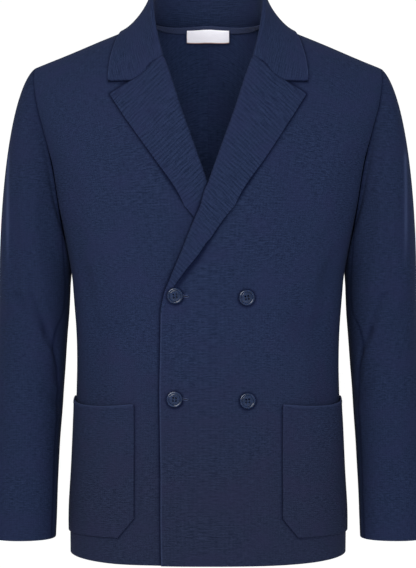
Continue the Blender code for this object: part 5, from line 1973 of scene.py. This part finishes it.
    def build(self) -> None:
        """Builds the collar."""
        front, back = self.outline.front_neck(), self.outline.back_neck()
        front_shares = graded(front.length, self.spacing, True, False)
        back_shares = np.linspace(1, 0, self.nape_columns)[1:]
        aim = np.array([0.0, 0.0, self.aim_z])
        frames = []
        for curve, face, shares in (
            (front, Face.FRONT, front_shares), (back, Face.BACK, back_shares),
        ):
            for share in shares:
                point, _ = self.cloth.at(curve(np.array([share])), face, Side.LEFT, 0.0)
                toward = aim - point[0]
                frames.append(self.cloth.frame(curve, float(share), face, Side.LEFT, toward))
        seam = lengths(np.array([frame[0] for frame in frames]))
        alongs = seam / seam[-1]
        end = self.end()
        half = []
        for along, frame in zip(alongs, frames):
            share = float(ease(0, self.end_share, along))
            half.append(end * (1 - share) + self.section(float(along), frame) * share)
        half[-1][:, 0] = 0.0
        grid = np.array(half + [mirrored(line, Side.RIGHT) for line in reversed(half[:-1])])
        run = np.concatenate([alongs, 2 - alongs[::-1][1:]]) * seam[-1]
        down = lengths(grid, axis=1)
        fold = self.stand_points + self.fold_points // 2
        down = down - down[:, fold : fold + 1]
        uv = np.stack([np.broadcast_to(run[:, None], down.shape), down], axis=-1)
        # Painted shade near the neck seam and painted highlight along the fall's edge at the
        # front.
        start = np.linalg.norm(grid - grid[:, :1], axis=-1)
        rim = np.linalg.norm(grid - grid[:, -1:], axis=-1)
        rim = np.exp(-((rim / self.rim_width) ** 2)) * (grid[..., 1] < self.rim_y)
        recess = np.clip(self.seam_mark - start / self.seam_fade, 0, 1) - self.rim_mark * rim
        ends = (Edge.FIRST_ROW, Edge.LAST_ROW)
        shell = ClothShell(
            "collar_cloth", grid, spread(uv, 8), np.array([0.0, 1.0, 0.3]), self.thickness,
            COLLAR_KNIT, ends, tuple((e, Edge.LAST_COLUMN, self.corner) for e in ends), recess,
        )
        place_sheet(shell, "collar", self.cut)


@dataclass
class Pockets:
    """Patch pockets with a cut corner, sewn down on three sides."""

    cloth: ClothForm
    outline: Outline
    thickness: float = 2.2
    inner_x: float = 95.8
    outer_angle: float = math.radians(86.0)
    top_z: float = -496
    chamfer_z: float = -641
    bottom_z: float = -665.5
    chamfer_x: float = 115.6
    mouth_sag: float = 4.2
    side_rise: float = 5.5
    sewn_height: float = 1.5
    mouth_height: float = 3.0
    bulge: float = 1.8
    ridge: float = 1.1
    # Painted highlight along the pocket's mouth, and its width; the width also shapes the ridge.
    rim_mark: float = 0.36
    rim_width: float = 1.8
    ridge_drop: float = 2.2
    height: float = 172.0
    width: float = 120.0
    spacing: float = 3.5
    chamfer_rows: float = 0.25
    corner: float = 3.0
    cut: FlatCut = FlatCut(0.135, 0.177, 0.0234)

    def pocket(self, side: Side) -> ClothShell:
        """Cloth of one pocket."""
        foot, corner = (self.chamfer_x, self.bottom_z), (self.inner_x, self.chamfer_z)
        chamfer = self.outline.line(foot, corner)
        edge = self.outline.line(corner, (self.inner_x, self.top_z))
        left = JoinedCurve([(self.chamfer_rows, chamfer), (1.0, edge)])

        def right(share: np.ndarray) -> np.ndarray:
            level = left(share)[..., 1]
            return np.stack([np.full(np.shape(share), self.outer_angle), level], axis=-1)

        ends = [curve(np.array(at)) for at in (0.0, 1.0) for curve in (left, right)]
        bottom = PlaceCurve(self.outline.body, ends[:2], Face.FRONT)
        top = PlaceCurve(self.outline.body, ends[2:], Face.FRONT)
        u, v = graded(self.width, self.spacing), graded(self.height, self.spacing)
        v = np.unique(np.append(v, self.chamfer_rows))
        places = coons((left, right, bottom, top), u, v)
        sag = self.side_rise * u**4 - self.mouth_sag * np.sin(math.pi * u) ** 0.8
        places[..., 1] += sag[None] * (v[:, None] ** 6)
        across = np.sin(math.pi * u) ** 0.7
        rise = np.sin(math.pi * np.minimum(v * 1.1, 1) * 0.5) ** 0.8
        height = self.sewn_height + self.bulge * rise[:, None] * across[None]
        mouth = ease(0.9, 1.0, v)[:, None] * (self.mouth_height - self.sewn_height)
        height = height + mouth * across[None]
        rim = (1 - v[:, None]) * self.height
        ridge = np.exp(-(((rim - self.ridge_drop) / self.rim_width) ** 2))
        height = height + self.ridge * ridge * (1 - u[None] ** 6)
        height = height - 0.5 * u[None] ** 12
        points, _ = self.cloth.at(places, Face.FRONT, side, height)
        uv = np.stack([places[..., 0] * GIRTH_SCALE, places[..., 1]], axis=-1)
        # Painted highlight along the mouth.
        pale = -self.rim_mark * np.exp(-((rim / self.rim_width) ** 2))
        return ClothShell(
            f"pocket_{side.word}_cloth", mirrored(points, side), spread(uv, 10 + side.index),
            np.array([0.3 * side.value, -1.0, 0.0]), self.thickness, POCKET_KNIT,
            rounded=((Edge.LAST_ROW, Edge.FIRST_COLUMN, self.corner),),
            recess=np.broadcast_to(pale, height.shape),
        )

    def area(self) -> list[Spot]:
        """Outline of a pocket seen from the front."""
        far = 190.0
        top = [(far, self.top_z), (150.0, self.top_z - 8), (120.0, self.top_z - 8)]
        low = [(self.inner_x, self.chamfer_z), (self.chamfer_x, self.bottom_z)]
        return [*top, (self.inner_x, self.top_z - 3), *low, (far, self.bottom_z + 3)]

    def build(self) -> None:
        """Builds both pockets."""
        for side in Side:
            word = side.word
            place_sheet(self.pocket(side), f"pocket_{word}", self.cut)


@dataclass
class NeckTrim:
    """Tape and bare label inside the back neck."""

    cloth: ClothForm
    outline: Outline
    thickness: float = 1.0
    tape_drops: tuple[float, ...] = (1.2, 2.2, 4.0, 6.4, 8.2, 9.2)
    tape_share: float = 6 / 7
    tape_columns: int = 34
    tape_height: float = -4.2
    label_half: float = 30.5
    label_top: float = 5.0
    label_bottom: float = 22.3
    label_height: float = -6.2
    label_thickness: float = 0.8
    label_length: float = 19.5
    label_spacing: Spot = (2.5, 2.0)
    label_bow: float = 0.7
    label_sag: Spot = (0.8, 2.4)
    probes: int = 200
    passes: int = 30
    tape_cut: FlatCut = FlatCut(0.215, 0.010, 0.0018)
    label_cut: FlatCut = FlatCut(0.061, 0.0173, 0.00105)

    def below(self, place: np.ndarray, drop: float, height: float) -> np.ndarray:
        """Point inside the back at a drop below its neck seam."""
        top = self.outline.body.point(place, Face.BACK)
        level = float(place[1])
        for _ in range(self.passes):
            there = self.outline.body.point(np.array([place[0], level]), Face.BACK)
            level -= drop - float(np.linalg.norm(top - there))
        points, _ = self.cloth.at(np.array([[place[0], level]]), Face.BACK, Side.LEFT, height)
        return points[0]

    def strip(self, shares: np.ndarray, drops: np.ndarray, height: float) -> np.ndarray:
        """Rows of points from the wearer's left end of a strip to its right end."""
        neck = self.outline.back_neck()
        rows = []
        for drop in drops:
            half = np.array([self.below(neck(np.array(s)), float(drop), height) for s in shares])
            rows.append(np.concatenate([half[::-1], mirrored(half[1:], Side.RIGHT)]))
        return np.array(rows)

    def shell(self, name: str, grid: np.ndarray, thickness: float, finish: Finish) -> ClothShell:
        """Cloth of a strip, with its map centred on the middle of the back."""
        across, down = lengths(grid[len(grid) // 2]), lengths(grid[:, 0])
        uv = np.stack(np.meshgrid(across - across[-1] / 2, down[-1] - down), axis=-1)
        return ClothShell(name, grid, uv, np.array([0.0, -1.0, 0.0]), thickness, finish)

    def build(self) -> None:
        """Builds the tape and the label."""
        neck = self.outline.back_neck()
        shares = np.linspace(0, self.tape_share, self.tape_columns)
        tape = self.strip(shares, np.array(self.tape_drops), self.tape_height)
        tape_shell = self.shell("neck_tape_cloth", tape, self.thickness, TwillTape())
        place_sheet(tape_shell, "neck_tape", self.tape_cut)
        probes = np.linspace(0, 1, self.probes)
        ends = self.outline.body.point(neck(probes), Face.BACK)[:, 0]
        last = float(np.interp(self.label_half, ends, probes))
        shares = last * graded(self.label_half, self.label_spacing[0], False, True)
        rows = graded(self.label_length, self.label_spacing[1])
        drops = self.label_top + (self.label_bottom - self.label_top) * rows
        label = self.strip(shares, drops, self.label_height)
        bow = np.sin(np.linspace(0, math.pi, len(drops)))[:, None]
        label[..., 1] -= self.label_bow * bow
        level = 1 - (label[..., 0] / self.label_half) ** 2
        label[..., 2] -= level * np.linspace(*self.label_sag, len(drops))[:, None]
        finish = WovenLabel(width=2 * self.label_half)
        label_shell = self.shell("neck_label_cloth", label, self.label_thickness, finish)
        place_sheet(label_shell, "neck_label", self.label_cut)


def deselect() -> None:
    """Selects nothing, in object mode."""
    if bpy.context.object and bpy.context.object.mode != "OBJECT":
        bpy.ops.object.mode_set(mode="OBJECT")
    bpy.ops.object.select_all(action="DESELECT")


def pick(obj: bpy.types.Object, test: Callable[[Vector], bool]) -> None:
    """Selects the points of a mesh whose places pass a test, and stays in edit mode."""
    bpy.ops.object.mode_set(mode="OBJECT")
    for group in (obj.data.vertices, obj.data.edges, obj.data.polygons):
        for item in group:
            item.select = False
    for point in obj.data.vertices:
        point.select = test(point.co)
    bpy.ops.object.mode_set(mode="EDIT")
    bpy.ops.mesh.select_mode(type="VERT")


def take(*objects: bpy.types.Object) -> None:
    """Selects these objects alone and makes the first one active."""
    deselect()
    for obj in objects:
        obj.select_set(True)
    bpy.context.view_layer.objects.active = objects[0]


def reshape(scale: Sequence[float], shift: Sequence[float] = (0, 0, 0)) -> bpy.types.Object:
    """Scales and then moves the whole mesh of the active object.

    Args:
        scale: Scale on each axis, about the origin.
        shift: Way to move it, in metres.

    Returns:
        The object.
    """
    bpy.ops.object.mode_set(mode="EDIT")
    bpy.ops.mesh.select_all(action="SELECT")
    bpy.ops.transform.resize(value=scale, center_override=(0, 0, 0))
    bpy.ops.transform.translate(value=shift)
    bpy.ops.object.mode_set(mode="OBJECT")
    return bpy.context.object


@dataclass
class Buttons:
    """Four-hole buttons, sewn on with two strands, and the holes they pass through."""

    cloth: ClothForm
    outline: Outline
    radius: float = 10.1
    rim_middle: float = 8.6
    rim_flat: float = 0.95
    rim_z: float = 1.9
    groove_z: float = 1.9
    middle_radius: float = 7.55
    middle_bevel: float = 1.2
    bevel_steps: int = 6
    smooth_angle: float = 40
    well_z: float = 2.5
    lift: float = 0.6
    hole_radius: float = 1.22
    hole_reach: float = 1.90
    drill_depth: float = 12
    strand: float = 0.13
    strand_off: float = 0.2
    strand_flat: float = 0.42
    strand_sink: float = 1.05
    places: tuple[ButtonPlace, ...] = (
        ButtonPlace("button_top_edge", -41.5, -357.7, 6),
        ButtonPlace("button_top_inner", 49.0, -359.9, 10),
        ButtonPlace("button_low_edge", -42.3, -489.6, -4),
        ButtonPlace("button_low_inner", 50.2, -491.5, 5),
    )
    hole_length: float = 22.0
    hole_half: float = 1.15
    hole_cord: float = 0.55
    hole_flat: float = 0.6
    hole_lift: float = 0.05
    slit_half: float = 0.62
    slit_height: float = 0.22
    slit_lift: float = 0.12
    holes: tuple[tuple[float, float, float], ...] = ((-35.4, -356.3, -9), (-36.2, -487.6, -8))

    def blank(self) -> bpy.types.Object:
        """Button lying at the origin with its face up: a drilled plate in a round rim."""
        button = self._disc(self.rim_middle, self.groove_z)
        middle = self._disc(self.middle_radius, self.well_z)
        round_off = middle.modifiers.new("round", "BEVEL")
        round_off.width = self.middle_bevel * MM
        round_off.segments = self.bevel_steps
        round_off.limit_method = "ANGLE"
        take(middle)
        bpy.ops.object.modifier_apply(modifier=round_off.name)
        for plate in (button, middle):
            self._drill(plate)
        deselect()
        bpy.ops.mesh.primitive_torus_add(
            major_segments=96, minor_segments=28, major_radius=self.rim_middle * MM,
            minor_radius=(self.radius - self.rim_middle) * MM,
        )
        rim = reshape((1, 1, self.rim_flat), (0, 0, self.rim_z * MM))
        take(button, middle, rim)
        bpy.ops.object.join()
        bpy.ops.object.shade_smooth_by_angle(angle=math.radians(self.smooth_angle))
        return button

    def _disc(self, radius: float, height: float) -> bpy.types.Object:
        """Round plate lying on the ground."""
        deselect()
        bpy.ops.mesh.primitive_cylinder_add(
            vertices=64, radius=radius * MM, depth=height * MM, location=(0, 0, height / 2 * MM)
        )
        return bpy.context.object

    def _drill(self, button: bpy.types.Object) -> None:
        """Cuts the four thread holes."""
        for x in (-self.hole_reach, self.hole_reach):
            for y in (-self.hole_reach, self.hole_reach):
                deselect()
                bpy.ops.mesh.primitive_cylinder_add(
                    vertices=20, radius=self.hole_radius * MM, depth=self.drill_depth * MM,
                    location=(x * MM, y * MM, 0),
                )
                drill = bpy.context.object
                take(button)
                cut = button.modifiers.new("hole", "BOOLEAN")
                cut.object = drill
                cut.operation = "DIFFERENCE"
                cut.solver = "EXACT"
                bpy.ops.object.modifier_apply(modifier=cut.name)
                bpy.data.objects.remove(drill, do_unlink=True)

    def strands(self) -> bpy.types.Object:
        """Two strands of thread over the middle, each from hole to hole."""
        parts = []
        rise = (self.well_z - self.strand_sink) * MM
        for x in (-self.hole_reach, self.hole_reach):
            for shift in (-self.strand_off, self.strand_off):
                deselect()
                bpy.ops.mesh.primitive_torus_add(
                    major_segments=40, minor_segments=10,
                    major_radius=self.hole_reach * MM, minor_radius=self.strand * MM,
                    location=((x + shift) * MM, 0, 0), rotation=(math.pi / 2, 0, math.pi / 2),
                )
                bpy.ops.object.transform_apply(location=True, rotation=True, scale=True)
                parts.append(reshape((1, 1, self.strand_flat), (0, 0, rise)))
        take(*parts)
        bpy.ops.object.join()
        bpy.ops.object.shade_smooth()
        return bpy.context.object

    def hole(self) -> bpy.types.Object:
        """Buttonhole at the origin: a long ring of close stitches round a slit."""
        deselect()
        bpy.ops.mesh.primitive_torus_add(
            major_segments=120, minor_segments=12,
            major_radius=self.hole_half * MM, minor_radius=self.hole_cord * MM,
        )
        ring = bpy.context.object
        reach = (self.hole_length / 2 - self.hole_half) * MM
        for sign in (-1, 1):
            pick(ring, lambda c, s=sign: c.x * s > 1e-7)
            bpy.ops.transform.translate(value=(sign * reach, 0, 0))
        bpy.ops.object.mode_set(mode="OBJECT")
        reshape((1, 1, self.hole_flat))
        bpy.ops.object.shade_smooth()
        return ring

    def slit(self) -> bpy.types.Object:
        """Dark flat shape in a buttonhole's cut at the origin, painted shade of the opening."""
        deselect()
        bpy.ops.mesh.primitive_uv_sphere_add(segments=32, ring_count=12, radius=MM)
        half = self.hole_length / 2 - self.hole_half
        slit = reshape((half, self.slit_half, self.slit_height))
        bpy.ops.object.shade_smooth()
        return slit

    def seat(self, obj: bpy.types.Object, x: float, z: float, turn: float, lift: float) -> None:
        """Lays a piece on the wearer's left front and fixes its place in its mesh.

        Args:
            obj: Piece at the origin, face up.
            x: Distance of its centre from the middle.
            z: Height of its centre.
            turn: Turn on the cloth in degrees.
            lift: Height over the cloth.
        """
        place = self.outline.body.locate(x, z, Face.FRONT)[None]
        points, normals = self.cloth.at(place, Face.FRONT, Side.LEFT, lift)
        normal = Vector(normals[0])
        across = Vector((1, 0, 0))
        across = (across - normal * across.dot(normal)).normalized()
        up = normal.cross(across)
        basis = Matrix((across, up, normal)).transposed().to_4x4()
        spin = Matrix.Rotation(math.radians(turn), 4, "Z")
        obj.data.transform(Matrix.Translation(Vector(points[0]) * MM) @ basis @ spin)
        obj.data.update()

    def dress(self, obj: bpy.types.Object, name: str, finish: Finish) -> None:
        """Names a piece, gives it its finish and fixes it to the jacket."""
        obj.name = name
        obj.data.name = name
        obj.data.materials.clear()
        obj.data.materials.append(finish.material())
        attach(obj, BODY)
        LOG.info("%s: %d faces", name, len(obj.data.polygons))

    def build(self) -> None:
        """Builds the buttons, their thread and the two buttonholes that show."""
        thread_finish = SpunThread(
            "button_thread", dark=(0.0025, 0.0070, 0.0230), light=(0.0055, 0.0120, 0.0370),
            plies=40,
        )
        # Near-black finish of the slit: painted shade of the buttonhole's opening.
        shade = SpunThread("slit_shade", dark=(0.001, 0.0015, 0.004), light=(0.003, 0.004, 0.01))
        for place in self.places:
            button = self.blank()
            self.seat(button, place.x, place.z, place.turn, self.lift)
            self.dress(button, f"{place.node}_turned", PolishedButton())
            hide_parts(place.node)
            thread = self.strands()
            self.seat(thread, place.x, place.z, place.turn, self.lift)
            self.dress(thread, f"{place.node}_thread", thread_finish)
        for number, (x, z, turn) in enumerate(self.holes, 1):
            ring = self.hole()
            self.seat(ring, x, z, turn, self.hole_lift)
            self.dress(ring, f"buttonhole_{number}", SpunThread("hole_thread", plies=60))
            slit = self.slit()
            self.seat(slit, x, z, turn, self.slit_lift)
            self.dress(slit, f"buttonhole_slit_{number}", shade)


@dataclass
class Studio:
    """Floor, soft lights and the camera."""

    floor_z: float = -1.15
    floor_half: float = 14.0
    camera_distance: float = 2.4
    camera_z: float = -0.342
    lens: float = 114.1
    sensor: float = 36.0
    sky: float = 1.04

    def lamp(
        self, name: str, place: Colour, aim: Colour, size: float, power: float, seen: Seen
    ) -> None:
        """Square soft light.

        Args:
            name: Name of the light.
            place: Where it stands, in metres.
            aim: Where it looks.
            size: Side of the square.
            power: Watts.
            seen: What it acts on.
        """
        light = bpy.data.lights.new(name, "AREA")
        light.shape = "SQUARE"
        light.size = size
        light.energy = power
        lamp = bpy.data.objects.new(name, light)
        lamp.location = place
        lamp.visible_diffuse = seen is Seen.CLOTH
        lamp.visible_glossy = seen is Seen.GLOSS
        way = Vector(aim) - Vector(place)
        lamp.rotation_euler = way.to_track_quat("-Z", "Y").to_euler()
        bpy.context.scene.collection.objects.link(lamp)

    def floor(self) -> None:
        """Pale floor far below the jacket."""
        deselect()
        bpy.ops.mesh.primitive_grid_add(
            x_subdivisions=8, y_subdivisions=8, size=2 * self.floor_half,
            location=(0, 0, self.floor_z),
        )
        floor = bpy.context.object
        floor.name = "floor"
        bpy.ops.object.transform_apply(location=True, rotation=True, scale=True)
        floor.data.materials.append(PaleFloor().material())

    def world(self) -> None:
        """Even white surroundings, shown without a film curve."""
        bpy.context.scene.view_settings.view_transform = "Standard"
        world = bpy.data.worlds.new("studio")
        world.use_nodes = True
        back = world.node_tree.nodes["Background"]
        back.inputs["Color"].default_value = (1, 1, 1, 1)
        back.inputs["Strength"].default_value = self.sky
        bpy.context.scene.world = world

    def build(self) -> None:
        """Sets the stage."""
        self.floor()
        self.world()
        self.lamp("front", (0.1, -3.5, 0.1), (0, 0, -0.3), 1.3, 68, Seen.CLOTH)
        self.lamp("front_left", (-1.3, -1.6, 0.85), (0, 0, -0.3), 0.6, 14, Seen.CLOTH)
        self.lamp("front_right", (1.5, -2.0, 0.5), (0, 0, -0.3), 2.0, 9, Seen.CLOTH)
        self.lamp("gloss", (-1.2, -1.85, 0.82), (0, 0, -0.36), 1.7, 210, Seen.GLOSS)
        data = bpy.data.cameras.new("camera")
        data.lens = self.lens
        data.sensor_width = self.sensor
        data.sensor_fit = "AUTO"
        camera = bpy.data.objects.new("camera", data)
        camera.location = (0, -self.camera_distance, self.camera_z)
        camera.rotation_euler = (math.pi / 2, 0, 0)
        bpy.context.scene.collection.objects.link(camera)
        bpy.context.scene.camera = camera


def main() -> None:
    """Builds the jacket's looks and the studio."""
    logging.basicConfig(level=logging.INFO, format="%(name)s: %(message)s")
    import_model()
    body = BodyForm()
    cloth, outline = ClothForm(body), Outline(body)
    pockets, buttons = Pockets(cloth, outline), Buttons(cloth, outline)
    centres = [(place.x, place.z) for place in buttons.places]
    lapels = Lapels(cloth, outline, centres)
    BodyPanels(cloth, outline, pockets.area(), centres).build()
    Sleeves(cloth, outline).build()
    lapels.build()
    Collar(cloth, outline, lapels).build()
    pockets.build()
    NeckTrim(cloth, outline).build()
    buttons.build()
    Studio().build()


if __name__ == "__main__":
    main()
